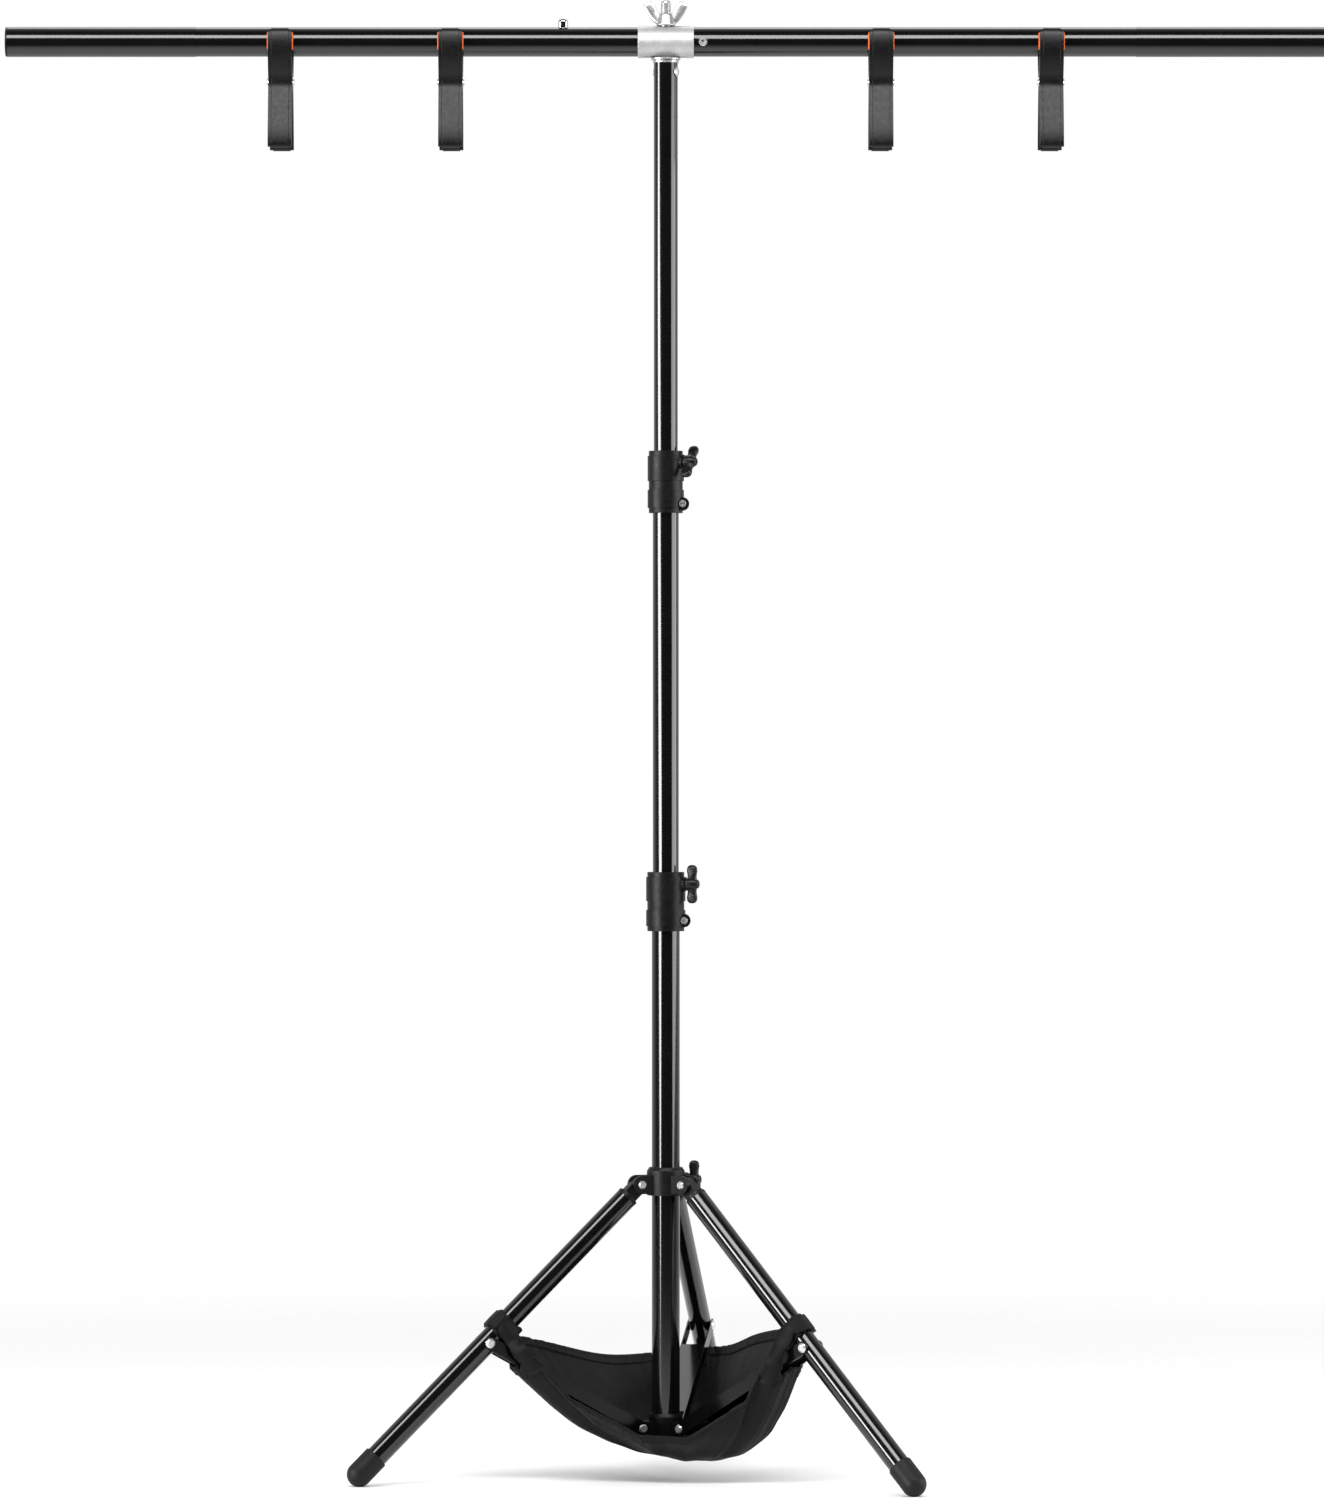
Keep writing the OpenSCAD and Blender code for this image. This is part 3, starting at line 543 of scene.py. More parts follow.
def clamp_half_parts(mid):
    import_pts = [(p[0], p[1]) for p in HALF]
    out = [(p.x, p.y) for p in catmull(import_pts, 4)]
    # cut clear of the barrel
    out = [(y, z) if math.hypot(y, z) > 10.9 else (y * 10.9 / math.hypot(y, z), z * 10.9 / math.hypot(y, z)) for y, z in out]
    parts = []
    # side webs and a slimmer centre web make an I section along the arm
    for x0, w in ((-CW / 2 + 1.7, 3.4), (CW / 2 - 1.7, 3.4)):
        v, f = extrude_x(out, w)
        parts.append((v, f, T((x0, 0, 0)), 0))
    n = len(out)
    cy = sum(p[0] for p in out) / n
    inner = []
    for i, (y, z) in enumerate(out):
        a, b = Vector(out[i - 1]), Vector(out[(i + 1) % n])
        t = (b - a).normalized()
        nrm = Vector((-t.y, t.x))
        inner.append((y + nrm.x * 0.9, z + nrm.y * 0.9))
    v, f = extrude_x(inner, CW - 6.6)
    parts.append((v, f, I4, 0))
    # barrel
    slabs = [(0, 12.6)] if mid else [(-(CW / 2 - 2.6), 5.2), (CW / 2 - 2.6, 5.2)]
    for x0, w in slabs:
        ring = []
        for i in range(44):
            a = math.radians(-72 + i * 144 / 43)
            ring.append((12.6 * math.cos(a) if abs(a) < 0.1 else 12.4 * math.cos(a) * (1 if abs(a) < 1.1 else 0.95), 11.6 * math.sin(a)))
        back = [(9.0 * math.cos(math.radians(t)), 9.0 * math.sin(math.radians(t))) for t in range(92, 270, 8)]
        v, f = extrude_x([(p[0], p[1]) for p in ring] + back, w)
        parts.append((v, f, T((x0, 0, 0)), 0))
    # raised rings on the jaw's outer face, two columns of four
    for k in range(4):
        zc = 20.5 + k * 7.3
        y_out = {0: 22.3, 1: 24.6, 2: 25.5, 3: 25.0}[k]
        lean = {0: 27, 1: 16, 2: 3, 3: -8}[k]
        for c in (-1, 1):
            tor = []
            tf = []
            for i in range(20):
                a = 2 * math.pi * i / 20
                for j in range(8):
                    bb = 2 * math.pi * j / 8
                    rr = 2.35 + 0.62 * math.cos(bb)
                    tor.append(Vector((rr * math.cos(a), rr * math.sin(a), 0.62 * math.sin(bb))))
            for i in range(20):
                for j in range(8):
                    tf.append((i * 8 + j, ((i + 1) % 20) * 8 + j, ((i + 1) % 20) * 8 + (j + 1) % 8, i * 8 + (j + 1) % 8))
            mt = T((c * 5.0, y_out - 0.6, zc)) @ R(-lean, "X") @ R(-90, "X")
            parts.append((tor, tf, mt, 0))
    # stippled grip patch on the handle: rows of small domes
    path = [(19.6, -28), (21.4, -36), (23.2, -44), (24.9, -52), (26.0, -60)]
    for i in range(15):
        t = i / 14 * (len(path) - 1)
        k = min(int(t), len(path) - 2)
        fr = t - k
        y = path[k][0] * (1 - fr) + path[k + 1][0] * fr
        z = path[k][1] * (1 - fr) + path[k + 1][1] * fr
        for c in range(8):
            x = (c - 3.5 + (0.5 if i % 2 else 0)) * 2.05
            if abs(x) > 7.9:
                continue
            dome = revolve([(0.72, -0.5), (0.7, 0.1), (0.5, 0.42), (0.2, 0.55)], 8, False, True)
            parts.append((*dome, T((x, y - 0.35, z)) @ R(-14, "X") @ R(-90, "X"), 1))
    # teeth along the inner jaw
    for k in range(6):
        z = 16.5 + k * 2.7
        y = 12.2 + k * 1.05
        tooth = [(-CW / 2 + 3.6, y + 0.8, z - 1.1), (CW / 2 - 3.6, y + 0.8, z - 1.1), (-CW / 2 + 3.6, y - 0.9, z), (CW / 2 - 3.6, y - 0.9, z), (-CW / 2 + 3.6, y + 1.4, z + 1.1), (CW / 2 - 3.6, y + 1.4, z + 1.1)]
        parts.append((tooth, [(0, 1, 3, 2), (2, 3, 5, 4), (0, 2, 4), (1, 5, 3), (0, 4, 5, 1)], I4, 0))
    return parts


def pad_parts():
    """soft pad with a crowned, ribbed face"""
    parts = []
    nx, nz = 14, 10
    w, h = CW + 2, 17.0
    V, F = [], []
    for side in (0, 1):
        for j in range(nz + 1):
            for i in range(nx + 1):
                u, v_ = i / nx * 2 - 1, j / nz * 2 - 1
                x = u * w / 2
                z = 39.5 + v_ * h / 2
                edge = max(abs(u) ** 6, abs(v_) ** 5)
                y = 15.35 + (0.55 * edge if side == 0 else 3.8 - 0.6 * edge)
                if side == 0:
                    y += 0.16 * (1 + math.cos(z * 2 * math.pi / 1.7)) * (1 - edge)
                V.append((x * (1 - 0.012 * abs(v_) ** 6), y, z))
    m = (nx + 1) * (nz + 1)
    for j in range(nz):
        for i in range(nx):
            a = j * (nx + 1) + i
            F.append((a, a + 1, a + nx + 2, a + nx + 1))
            F.append((m + a, m + a + nx + 1, m + a + nx + 2, m + a + 1))
    edge = [j * (nx + 1) for j in range(nz + 1)]
    bottom = list(range(nx + 1))
    right = [j * (nx + 1) + nx for j in range(nz + 1)]
    top = [nz * (nx + 1) + i for i in range(nx + 1)]
    loop = bottom + right[1:] + list(reversed(top))[1:] + list(reversed(edge))[1:-1]
    for k in range(len(loop)):
        a, b = loop[k], loop[(k + 1) % len(loop)]
        F.append((a, m + a, m + b, b))
    parts.append((V, F, I4, 0))
    return parts


cx = [J["jaw_%d_hinge" % i]["pos_m"] for i in range(1, 5)]
jaw_bodies = []
pads = []
for i, p in enumerate(cx, 1):
    at = T(p)
    o = build("clamp_back_%d" % i, clamp_half_parts(False), [M["clamp"], M["stipple"]], "crossbar", at=at, bevel=(0.0006, 2, 40), deg=38)
    jaw_bodies.append(o)
    if i == 1:
        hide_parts("clamp_bodies")
    o = build("clamp_front_%d" % i, [(v, f, R(180, "Z") @ m, mi) for v, f, m, mi in clamp_half_parts(True)], [M["clamp"], M["stipple"]], "jaw_%d" % i, at=at, bevel=(0.0006, 2, 40), deg=38)
    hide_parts("clamp_jaw_%d" % i)
    o = build("clamp_pad_back_%d" % i, pad_parts(), M["orange"], "crossbar", at=at, deg=50)
    if i == 1:
        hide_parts("clamp_pads")
    o = build("clamp_pad_front_%d" % i, [(v, f, R(180, "Z") @ m, mi) for v, f, m, mi in pad_parts()], M["orange"], "jaw_%d" % i, at=at, deg=50)
    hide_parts("clamp_jaw_pad_%d" % i)


# ---------------------------------------------------------------- sling
LEGS = {}
for k in ("left", "right", "back"):
    j = J[k + "_leg_hinge"]
    ax = Vector(j["axis"])
    rad = Vector((ax.y, -ax.x, 0)).normalized()
    LEGS[k] = {"pivot": Vector(j["pos_m"]), "t": ax, "r": rad, "az": math.degrees(math.atan2(rad.y, rad.x))}
piv_r = (Vector((LEGS["left"]["pivot"].x, LEGS["left"]["pivot"].y - OY, 0))).length / MM
leg_mount = next(m for m in frame["record"]["mounts"] if m["name"] == "foot_rest_left")
foot_r = math.hypot(leg_mount["pos_m"][0], leg_mount["pos_m"][1] - OY) / MM
HUB_Z = LEGS["left"]["pivot"].z / MM
LOW_Z = J["left_brace_hinge"]["pos_m"][2] / MM
leg_a = math.atan2(foot_r - piv_r, HUB_Z - 12)
brace_r = 188.0
pin_t = (brace_r - piv_r) / math.sin(leg_a)
PIN_Z = HUB_Z - pin_t * math.cos(leg_a)
for k, g in LEGS.items():
    g["dir"] = (g["r"] * math.sin(leg_a) - Vector((0, 0, 1)) * math.cos(leg_a)).normalized()
AZ_L, AZ_R, AZ_B = (LEGS[k]["az"] % 360 for k in ("left", "right", "back"))
SL_C = (18.0, -8.0)


def sind(a):
    return math.sin(math.radians(a))


def cosd(a):
    return math.cos(math.radians(a))


def wrap120(a):
    b = (a - AZ_B + 720) % 120
    return min(b, 120 - b)


def turn(a, b):
    return ((a - b + 900) % 360) - 180


def ease(t):
    u = min(1.0, max(0.0, t))
    return u * u * (3 - 2 * u)


def corner_r(a):
    return 158 if abs(turn(a, AZ_L)) <= 60 else 165 if abs(turn(a, AZ_R)) <= 60 else 192


def rim_r(a):
    w = wrap120(a)
    return min(205 * 0.5 / cosd(60 - w) * (1 - 0.12 * sind(1.5 * w)), corner_r(a) / cosd(w))


def line_at(r):
    return LOW_Z + (max(piv_r, r) - piv_r) * (PIN_Z - LOW_Z) / (brace_r - piv_r)


def brace_line(x):
    return line_at(abs(x) / (-cosd(AZ_L) if x < 0 else cosd(AZ_R)))


def back_z(a):
    d = turn(a, AZ_B)
    s = abs(d) / 120
    return 112 + (38 * s ** 3 if d > 0 else 43 * s ** 0.85)


def rim_z(a):
    """rim height: high at the back, slung under the two front braces, with a notch at each front corner where the brace passes"""
    w = wrap120(a)
    d = abs(turn(a, AZ_B))
    notch = line_at(rim_r(a) * cosd(w)) - 11
    if d > 120:
        wide = 21 if abs(turn(a, AZ_L)) <= 60 else 15
        low = min(notch, brace_line(rim_r(a) * cosd(a)) - 12 + 8 * sind(1.5 * w))
        return low + 21 * ease((w - 5) / 4) * (1 - ease((w - 10) / (wide - 10)))
    if d < 60:
        return back_z(a)
    return notch + (back_z(a) - notch) * ease((w - 5) / 4.5)


def toward(a, b):
    return max(0.0, cosd(a - b)) ** 2


def sl_p(a):
    return 2.2 - 0.15 * toward(a, AZ_L) + 1.5 * toward(a, AZ_R)


NA, NV = 360, 54


def base_point(a, v):
    r = rim_r(a)
    x, y = r * cosd(a), r * sind(a)
    # rows crowd towards the rim, where the wall is steep
    z = 20.2 + (rim_z(a) - 18) * v ** sl_p(a)
    return Vector((SL_C[0] + (x - SL_C[0]) * v, SL_C[1] + (y - SL_C[1]) * v, z))


def grid_normals(P):
    N = []
    for j in range(NV + 1):
        row = []
        for i in range(NA):
            ea = P[j][(i + 1) % NA] - P[j][i - 1]
            ev = P[min(j + 1, NV)][i] - P[max(j - 1, 0)][i]
            n_ = ev.cross(ea)
            row.append(n_.normalized() if n_.length > 1e-9 and j > 0 else Vector((0, 0, 1)))
        N.append(row)
    return N


ANG = [AZ_B + i * 360 / NA for i in range(NA)]
VV = [(j / NV) ** 0.72 for j in range(NV + 1)]
P = [[base_point(a, VV[j]) for a in ANG] for j in range(NV + 1)]
N = grid_normals(P)
for j in range(1, NV + 1):
    v = VV[j]
    for i, a in enumerate(ANG):
        p = P[j][i]
        w = wrap120(a)
        sg = 1 if turn(a, AZ_L) > 0 else -1
        # gathers that run out of each tied corner and fade into the belly
        near = math.exp(-(w / 17.0) ** 2)
        fold = 2.1 * near * (v ** 2.4) * math.sin(w * 1.05 + 1.3 * sg + 0.8) * ease((w - 3) / 4)
        fold += 0.9 * near * (v ** 1.6) * math.sin(w * 2.3 + 2.1 * sg)
        n1 = noise.noise(Vector((p.x / 46, p.y / 46, p.z / 60 + 1.7)))
        n2 = noise.noise(Vector((p.x / 19, p.y / 19, p.z / 26 + 9.1)))
        belly = math.sin(math.pi * min(v * 0.98, 1)) ** 0.7
        fold += 3.0 * n1 * belly + 1.3 * n2 * belly
        # long draped creases that hang between the two front corners
        d = turn(a, AZ_L + 60)
        fold += 1.9 * math.exp(-(d / 46) ** 2) * math.sin(v * 17 + d * 0.045 + 0.7) * (v ** 1.5) * (1 - v ** 7)
        fold = min(max(fold, -3.6), 3.0)
        q = p + N[j][i] * fold
        q.z = max(q.z, 16.2)
        P[j][i] = q
P = [[Vector((p.x * MM, p.y * MM + OY, p.z * MM)) for p in row] for row in P]
N = grid_normals(P)
STEP = NA // 3
HALF = NA // 6
SECTOR = {"back": 0, "left": STEP, "right": 2 * STEP}
THICK = 0.0011


def sector_cols(k):
    c = SECTOR[k]
    return [(c + i) % NA for i in range(-HALF, HALF + 1)]


def blend_sector(o):
    """bakes the object's transform into its mesh; the piece is left without a body"""
    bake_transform(o)


def soft_object(name, me, mat):
    o = bpy.data.objects.new(name, me)
    bpy.context.scene.collection.objects.link(o)
    me.materials.append(mat)
    for p_ in me.polygons:
        p_.use_smooth = True
    return o


def full_normals(me, normals):
    me.normals_split_custom_set_from_vertices([tuple(x) for x in normals])


def sling_sector(k):
    cols = sector_cols(k)
    m = len(cols)
    V, U, F, NN = [], [], [], []
    for sgn in (1, -1):
        c = P[0][0]
        V.append(c + Vector((0, 0, 1)) * (THICK / 2 * sgn))
        U.append((c.x, c.y * 1.25))
        NN.append(Vector((0, 0, sgn)))
        for j in range(1, NV + 1):
            for i in cols:
                V.append(P[j][i] + N[j][i] * (THICK / 2 * sgn))
                U.append((P[j][i].x, P[j][i].y + P[j][i].z * 0.8))
                NN.append(N[j][i] * sgn)
    B = 1 + NV * m

    def t(j, i, side_):
        return (B if side_ else 0) + (0 if j == 0 else 1 + (j - 1) * m + i)

    for i in range(m - 1):
        F.append((t(0, 0, 0), t(1, i, 0), t(1, i + 1, 0)))
        F.append((t(0, 0, 1), t(1, i + 1, 1), t(1, i, 1)))
        for j in range(1, NV):
            F.append((t(j, i, 0), t(j + 1, i, 0), t(j + 1, i + 1, 0), t(j, i + 1, 0)))
            F.append((t(j, i, 1), t(j, i + 1, 1), t(j + 1, i + 1, 1), t(j + 1, i, 1)))
        F.append((t(NV, i, 0), t(NV, i, 1), t(NV, i + 1, 1), t(NV, i + 1, 0)))
    for j in range(NV):
        F.append((t(j, 0, 0), t(j, 0, 1), t(j + 1, 0, 1), t(j + 1, 0, 0)) if j else (t(0, 0, 0), t(0, 0, 1), t(1, 0, 1), t(1, 0, 0)))
        F.append((t(j, m - 1, 0), t(j + 1, m - 1, 0), t(j + 1, m - 1, 1), t(j, m - 1, 1)))
    me = mesh_from("sandbag_" + k, V, F, U)
    o = soft_object("sandbag_" + k, me, M["fabric"])
    # faces on the outer side of the sheet take the darker copy: painted shade on the underside of the sling
    me.materials.append(M["fabric_out"])
    for p_ in me.polygons:
        if all(q_ >= B for q_ in p_.vertices):
            p_.material_index = 1
    full_normals(me, NN)
    blend_sector(o)
    area = sum((P[j + 1][a_] - P[j][a_]).cross(P[j][b_] - P[j][a_]).length for j in range(NV) for a_, b_ in zip(cols[:-1], cols[1:]))
    return o, area


def rim_frame(x):
    """position, inward direction along the cloth, and cloth normal at a fractional column of the rim"""
    i0, f = int(math.floor(x)) % NA, x - math.floor(x)
    i1 = (i0 + 1) % NA
    top = P[NV][i0].lerp(P[NV][i1], f)
    low = P[NV - 5][i0].lerp(P[NV - 5][i1], f)
    nrm = N[NV][i0].lerp(N[NV][i1], f).normalized()
    inn = (low - top)
    inn = (inn - nrm * inn.dot(nrm)).normalized()
    return top, inn, nrm


def hem_sector(k):
    c = SECTOR[k]
    V, U, F = [], [], []
    acc = 0.0
    prev = None
    prof = ((1.0, 0.0006), (0.97, 0.0013), (0.86, 0.0016), (0.5, 0.0014), (0.14, 0.0017), (0.02, 0.0013), (-0.05, 0.0), (0.02, -0.0013), (0.14, -0.0017), (0.5, -0.0014), (0.86, -0.0016), (0.97, -0.0013), (1.0, -0.0006))
    n_ = HALF * 4
    for q in range(n_ + 1):
        x = c - HALF + q * 0.5
        top, inn, nrm = rim_frame(x)
        if prev is not None:
            acc += (top - prev).length
        prev = top
        pucker = 1 + 0.10 * math.sin(x * 2.1) + 0.08 * math.sin(x * 5.3 + 1)
        for s, (t_, h) in enumerate(prof):
            V.append(top + inn * (0.011 * t_) + nrm * (h * (pucker if abs(h) > 0.001 else 1)))
            U.append((acc, s * 0.002))
    m = len(prof)
    for q in range(n_):
        for s in range(m):
            F.append((q * m + s, q * m + (s + 1) % m, (q + 1) * m + (s + 1) % m, (q + 1) * m + s))
    F.append(tuple(reversed(range(m))))
    F.append(tuple(n_ * m + s for s in range(m)))
    me = mesh_from("sling_hem_" + k, V, F, U)
    o = soft_object("sling_hem_" + k, me, M["webbing"])
    blend_sector(o)
    return o


def stitch_sector(k):
    """two rows of raised thread along the hem, on both faces"""
    c = SECTOR[k]
    V, F = [], []
    for off, sgn in ((0.0024, 1), (0.0085, 1), (0.0024, -1), (0.0085, -1)):
        run, nxt = 0.0, 0.0
        x, last = c - HALF + 0.4, None
        while x < c + HALF - 0.6:
            top, inn, nrm = rim_frame(x)
            q = top + inn * off + nrm * (0.0016 * sgn)
            if last is not None:
                run += (q - last).length
            last = q
            if run >= nxt:
                t2, i2, n2 = rim_frame(x + 0.5)
                d = (t2 + i2 * off + n2 * (0.0016 * sgn) - q).normalized()
                up_ = nrm * sgn
                sd = d.cross(up_).normalized()
                b_ = len(V)
                for al, h, wd in ((-0.5, 0, 0.5), (-0.25, 1.0, 1.0), (0.25, 1.0, 1.0), (0.5, 0, 0.5)):
                    cc = q + d * (0.0027 * al) + up_ * (0.0003 * h)
                    V += [cc + sd * 0.0003 * wd, cc + up_ * 0.0003 * wd, cc - sd * 0.0003 * wd]
                for s in range(3):
                    F += [(b_ + s * 3, b_ + s * 3 + 3, b_ + s * 3 + 4, b_ + s * 3 + 1), (b_ + s * 3 + 1, b_ + s * 3 + 4, b_ + s * 3 + 5, b_ + s * 3 + 2)]
                nxt += 0.0044
            x += 0.05
    me = mesh_from("sling_stitching_" + k, V, F)
    o = soft_object("sling_stitching_" + k, me, M["thread"])
    blend_sector(o)
    return o


M["thread"] = generic("thread", (0.006, 0.0065, 0.0065), (0.012, 0.0125, 0.0125), rough=(0.5, 0.65), cscale=400, bscale=3000, bstr=0.3, spec=0.25)
for k in ("left", "right", "back"):
    o, area = sling_sector(k)
    {"sheet": o, "area": area, "with": [hem_sector(k), stitch_sector(k)]}
    if k == "left":
        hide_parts("sandbag")


# straps: a webbing loop round each leg with its tail, riding on the leg, and ties down to the sling's corner
def band(path, normals, width_dir, width, thick=0.0013):
    """flat strap through path points; width_dir gives the across direction at each point"""
    V, F, U = [], [], []
    acc_ = 0.0
    for i, (p, nr) in enumerate(zip(path, normals)):
        if i:
            acc_ += (p - path[i - 1]).length
        wd = width_dir[i] if isinstance(width_dir, list) else width_dir
        ring = [(-0.5, 0.0), (-0.48, 0.5), (0.0, 0.62), (0.48, 0.5), (0.5, 0.0), (0.48, -0.5), (0.0, -0.5), (-0.48, -0.5)]
        wv = width[i] if isinstance(width, list) else width
        for s, (u, h) in enumerate(ring):
            V.append(p + wd * (wv * u) + nr * (thick * h))
            U.append((acc_, (u + 0.5) * wv))
    m = 8
    for i in range(len(path) - 1):
        for s in range(m):
            F.append((i * m + s, i * m + (s + 1) % m, (i + 1) * m + (s + 1) % m, (i + 1) * m + s))
    F.append(tuple(range(m)))
    F.append(tuple(reversed(range((len(path) - 1) * m, len(path) * m))))
    return V, F, U


def curve_pts(ctrl, n_):
    """smooth path through control points"""
    out_ = []
    c = [ctrl[0] * 2 - ctrl[1]] + list(ctrl) + [ctrl[-1] * 2 - ctrl[-2]]
    segs = len(ctrl) - 1
    for q in range(n_ + 1):
        u = q / n_ * segs
        s = min(int(u), segs - 1)
        t_ = u - s
        a_, b_, c_, d_ = c[s], c[s + 1], c[s + 2], c[s + 3]
        out_.append(0.5 * ((2 * b_) + (c_ - a_) * t_ + (2 * a_ - 5 * b_ + 4 * c_ - d_) * t_ ** 2 + (3 * b_ - a_ - 3 * c_ + d_) * t_ ** 3))
    return out_


for k, g in LEGS.items():
    body = k + "_leg"
    c0 = g["pivot"] + g["dir"] * ((pin_t + (59 if k == "back" else -22)) * MM)
    t_ax, d_ax = g["t"], g["dir"]
    up = t_ax.cross(d_ax).normalized()
    if up.z < 0:
        up = -up
    # loop over the leg and down both sides, meeting under it
    path, nor, wds, wid = [], [], [], []
    seed = {"left": 1.0, "right": 2.0, "back": 3.0}[k]
    for i in range(73):
        a = math.radians(-90 + i * 5)
        r = 12.3 + 0.5 * math.sin(3 * a + seed) + (4.5 * max(0.0, -math.sin(a)) ** 3)
        nrv = t_ax * math.cos(a) + up * math.sin(a)
        path.append(c0 + nrv * (r * MM) + d_ax * (1.2 * MM * math.sin(a * 2 + seed)))
        nor.append(nrv)
        wid.append(0.021 * (1 + 0.07 * math.sin(5 * a + seed)))
    V, F, U = band(path, nor, d_ax, wid, 0.0017)
    me = mesh_from("strap_loop_" + k, V, F, U)
    o = link("strap_loop_" + k, me, M["webbing"], body)
    smooth(o, 60)
    if k == "left":
        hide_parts("sling_straps")
    # overlapping tail with a turned end, lying over the top of the loop
    path, nor, wid = [], [], []
    for i in range(22):
        a = math.radians(20 + i * 6.4)
        lift = 14.3 + 0.35 * math.sin(i * 0.9 + seed) + max(0, i - 15) * 0.55
        nrv = t_ax * math.cos(a) + up * math.sin(a)
        path.append(c0 + nrv * (lift * MM) + d_ax * ((i * 0.12 - 1) * MM))
        nor.append(nrv)
        wid.append(0.0185)
    V, F, U = band(path, nor, d_ax, wid, 0.0016)
    me = mesh_from("strap_tail_" + k, V, F, U)
    o = link("strap_tail_" + k, me, M["webbing"], body)
    smooth(o, 60)
    # ties from the loop to the corner of the sling
    c_col = SECTOR[k]
    if k == "back":
        pa, pi, pn = rim_frame(c_col)
        low = pa + pi * 0.024 + pn * 0.0026
        ctrl = [low, pa + pi * 0.008 + pn * 0.0028, pa - pi * 0.004 + pn * 0.0020, c0 - up * (12.6 * MM) - d_ax * 0.012, c0 - up * (15.0 * MM) - d_ax * 0.002]
        path = curve_pts(ctrl, 20)
        wds, nor = [], []
        for i, q in enumerate(path):
            tan = (path[min(i + 1, 20)] - path[max(i - 1, 0)]).normalized()
            wds.append(t_ax)
            nor.append(tan.cross(t_ax).normalized())
        # sewn part goes with the cloth, the rest with the leg it is tied to
        V, F, U = band(path[:12], nor[:12], wds[:12], 0.018, 0.0016)
        me = mesh_from("corner_tie_back", V, F, U)
        o = soft_object("corner_tie_back", me, M["webbing"])
        blend_sector(o)
        V, F, U = band(path[11:], nor[11:], wds[11:], 0.0178, 0.0016)
        me = mesh_from("leg_tie_back", V, F, U)
        o = link("leg_tie_back", me, M["webbing"], body)
        smooth(o, 60)
    else:
        for sgn, nm in ((1, "a"), (-1, "b")):
            x = c_col + sgn * (8.6 if k == "left" else 8.0)
            pa, pi, pn = rim_frame(x)
            lat = t_ax if (pa - c0).dot(t_ax) > 0 else -t_ax
            low = pa + pi * 0.022 - pn * 0.0024
            ctrl = [low, pa + pi * 0.008 - pn * 0.0026, pa - pi * 0.005 - pn * 0.0018,
                    c0 + lat * 0.0172 - Vector((0, 0, 1)) * 0.012 - g["r"] * 0.006, c0 + lat * 0.0152 + up * 0.002, c0 + lat * 0.0136 + up * 0.0085]
            path = curve_pts(ctrl, 26)
            wds, nor, wid = [], [], []
            for i, q in enumerate(path):
                tan = (path[min(i + 1, 26)] - path[max(i - 1, 0)]).normalized()
                f_ = ease((i - 8) / 10)
                nn = ((-pn) * (1 - f_) + lat * f_)
                nn = (nn - tan * nn.dot(tan)).normalized()
                nor.append(nn)
                wds.append(tan.cross(nn).normalized())
                wid.append(0.0165 + 0.002 * math.sin(i * 0.7 + seed))
            V, F, U = band(path, nor, wds, wid, 0.0018)
            me = mesh_from("corner_tie_%s_%s" % (k, nm), V, F, U)
            o = soft_object("corner_tie_%s_%s" % (k, nm), me, M["webbing"])
            blend_sector(o)

# ---------------------------------------------------------------- floor, light, world
fv = [(0, 0, 0)] + [(r_ * math.cos(2 * math.pi * i / 96), r_ * math.sin(2 * math.pi * i / 96), 0) for r_ in (1.0, 2.0, 3.2) for i in range(96)]
ff = [(0, 1 + i, 1 + (i + 1) % 96) for i in range(96)]
for q in range(2):
    ff += [(1 + q * 96 + i, 1 + (q + 1) * 96 + i, 1 + (q + 1) * 96 + (i + 1) % 96, 1 + q * 96 + (i + 1) % 96) for i in range(96)]
me = mesh_from("floor", fv, ff)
floor = bpy.data.objects.new("floor", me)
bpy.context.scene.collection.objects.link(floor)
nt = FLOOR.node_tree
pb = next(x for x in nt.nodes if x.type == "BSDF_PRINCIPLED")
oo = next(x for x in nt.nodes if x.type == "OUTPUT_MATERIAL")
tcf = nt.nodes.new("ShaderNodeTexCoord")
ln = nt.nodes.new("ShaderNodeVectorMath")
ln.operation = "LENGTH"
nt.links.new(tcf.outputs["Object"], ln.inputs[0])
fade = remap(nt, ln.outputs["Value"], 1.0, 0.0, 0.55, 2.9)
fade.interpolation_type = "SMOOTHSTEP"
tr = nt.nodes.new("ShaderNodeBsdfTransparent")
mx = nt.nodes.new("ShaderNodeMixShader")
nt.links.new(fade.outputs[0], mx.inputs[0])
nt.links.new(tr.outputs[0], mx.inputs[1])
nt.links.new(pb.outputs[0], mx.inputs[2])
nt.links.new(mx.outputs[0], oo.inputs[0])
me.materials.append(FLOOR)


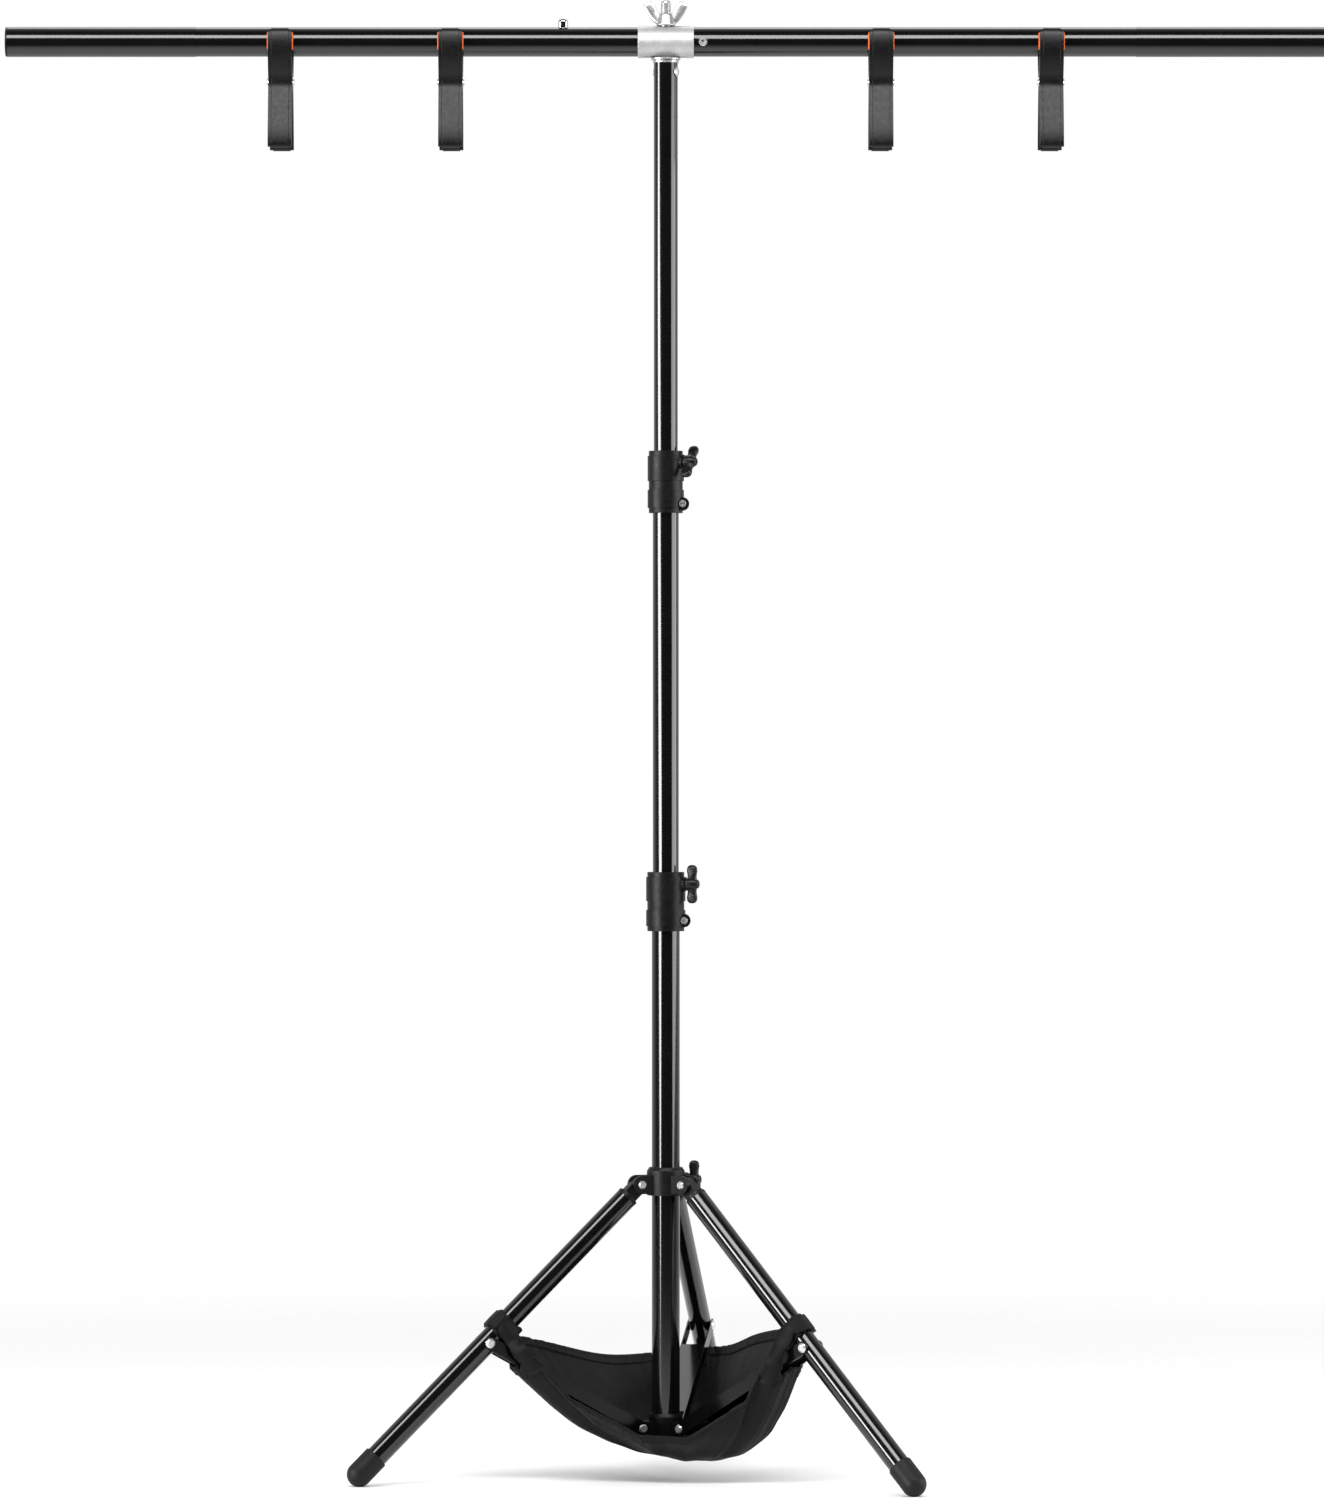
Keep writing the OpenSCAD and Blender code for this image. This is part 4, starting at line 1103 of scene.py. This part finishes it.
def area_light(name, loc, target, sx, sy, power, color=(1, 1, 1)):
    l = bpy.data.lights.new(name, "AREA")
    l.shape = "RECTANGLE"
    l.size, l.size_y = sx, sy
    l.energy = power
    l.color = color
    o = bpy.data.objects.new(name, l)
    o.location = loc
    d = Vector(target) - Vector(loc)
    o.rotation_euler = d.to_track_quat("-Z", "Z").to_euler()
    o.visible_camera = False
    bpy.context.scene.collection.objects.link(o)
    return o


area_light("strip_left", (-3.3, OY - 1.9, 1.0), (0, OY, 0.75), 0.85, 3.2, 170)
area_light("side_right", (3.45, OY - 0.6, 1.1), (0, OY, 0.75), 1.7, 3.2, 95)
area_light("top_front", (0, OY - 1.9, 2.88), (0, OY, 1.4), 4.4, 0.95, 125)
area_light("top_back", (0, OY + 1.8, 3.6), (0, OY, 0.6), 4.5, 1.2, 40)

world = bpy.data.worlds.new("studio")
bpy.context.scene.world = world
world.use_nodes = True
nt = world.node_tree
for x in list(nt.nodes):
    nt.nodes.remove(x)
out = nt.nodes.new("ShaderNodeOutputWorld")
cam_bg = nt.nodes.new("ShaderNodeBackground")
cam_bg.inputs[0].default_value = (1.0, 1.0, 1.0, 1)
cam_bg.inputs[1].default_value = 1.0
env_bg = nt.nodes.new("ShaderNodeBackground")
lp = nt.nodes.new("ShaderNodeLightPath")
mixw = nt.nodes.new("ShaderNodeMixShader")
tc = nt.nodes.new("ShaderNodeTexCoord")
sep = nt.nodes.new("ShaderNodeSeparateXYZ")
nt.links.new(tc.outputs["Generated"], sep.inputs[0])
r = ramp(nt, remap(nt, sep.outputs[1], 0.0, 1.0, -1.0, 1.0).outputs[0], [(0.0, (0.03, 0.03, 0.03)), (0.42, (0.05, 0.05, 0.05)), (0.56, (0.5, 0.5, 0.5)), (0.75, (0.9, 0.9, 0.9))])
nt.links.new(r.outputs[0], env_bg.inputs[0])
env_bg.inputs[1].default_value = 0.8
nt.links.new(lp.outputs["Is Camera Ray"], mixw.inputs[0])
nt.links.new(env_bg.outputs[0], mixw.inputs[1])
nt.links.new(cam_bg.outputs[0], mixw.inputs[2])
nt.links.new(mixw.outputs[0], out.inputs[0])
bpy.context.scene.view_settings.view_transform = "Standard"
bpy.context.scene.view_settings.look = "None"
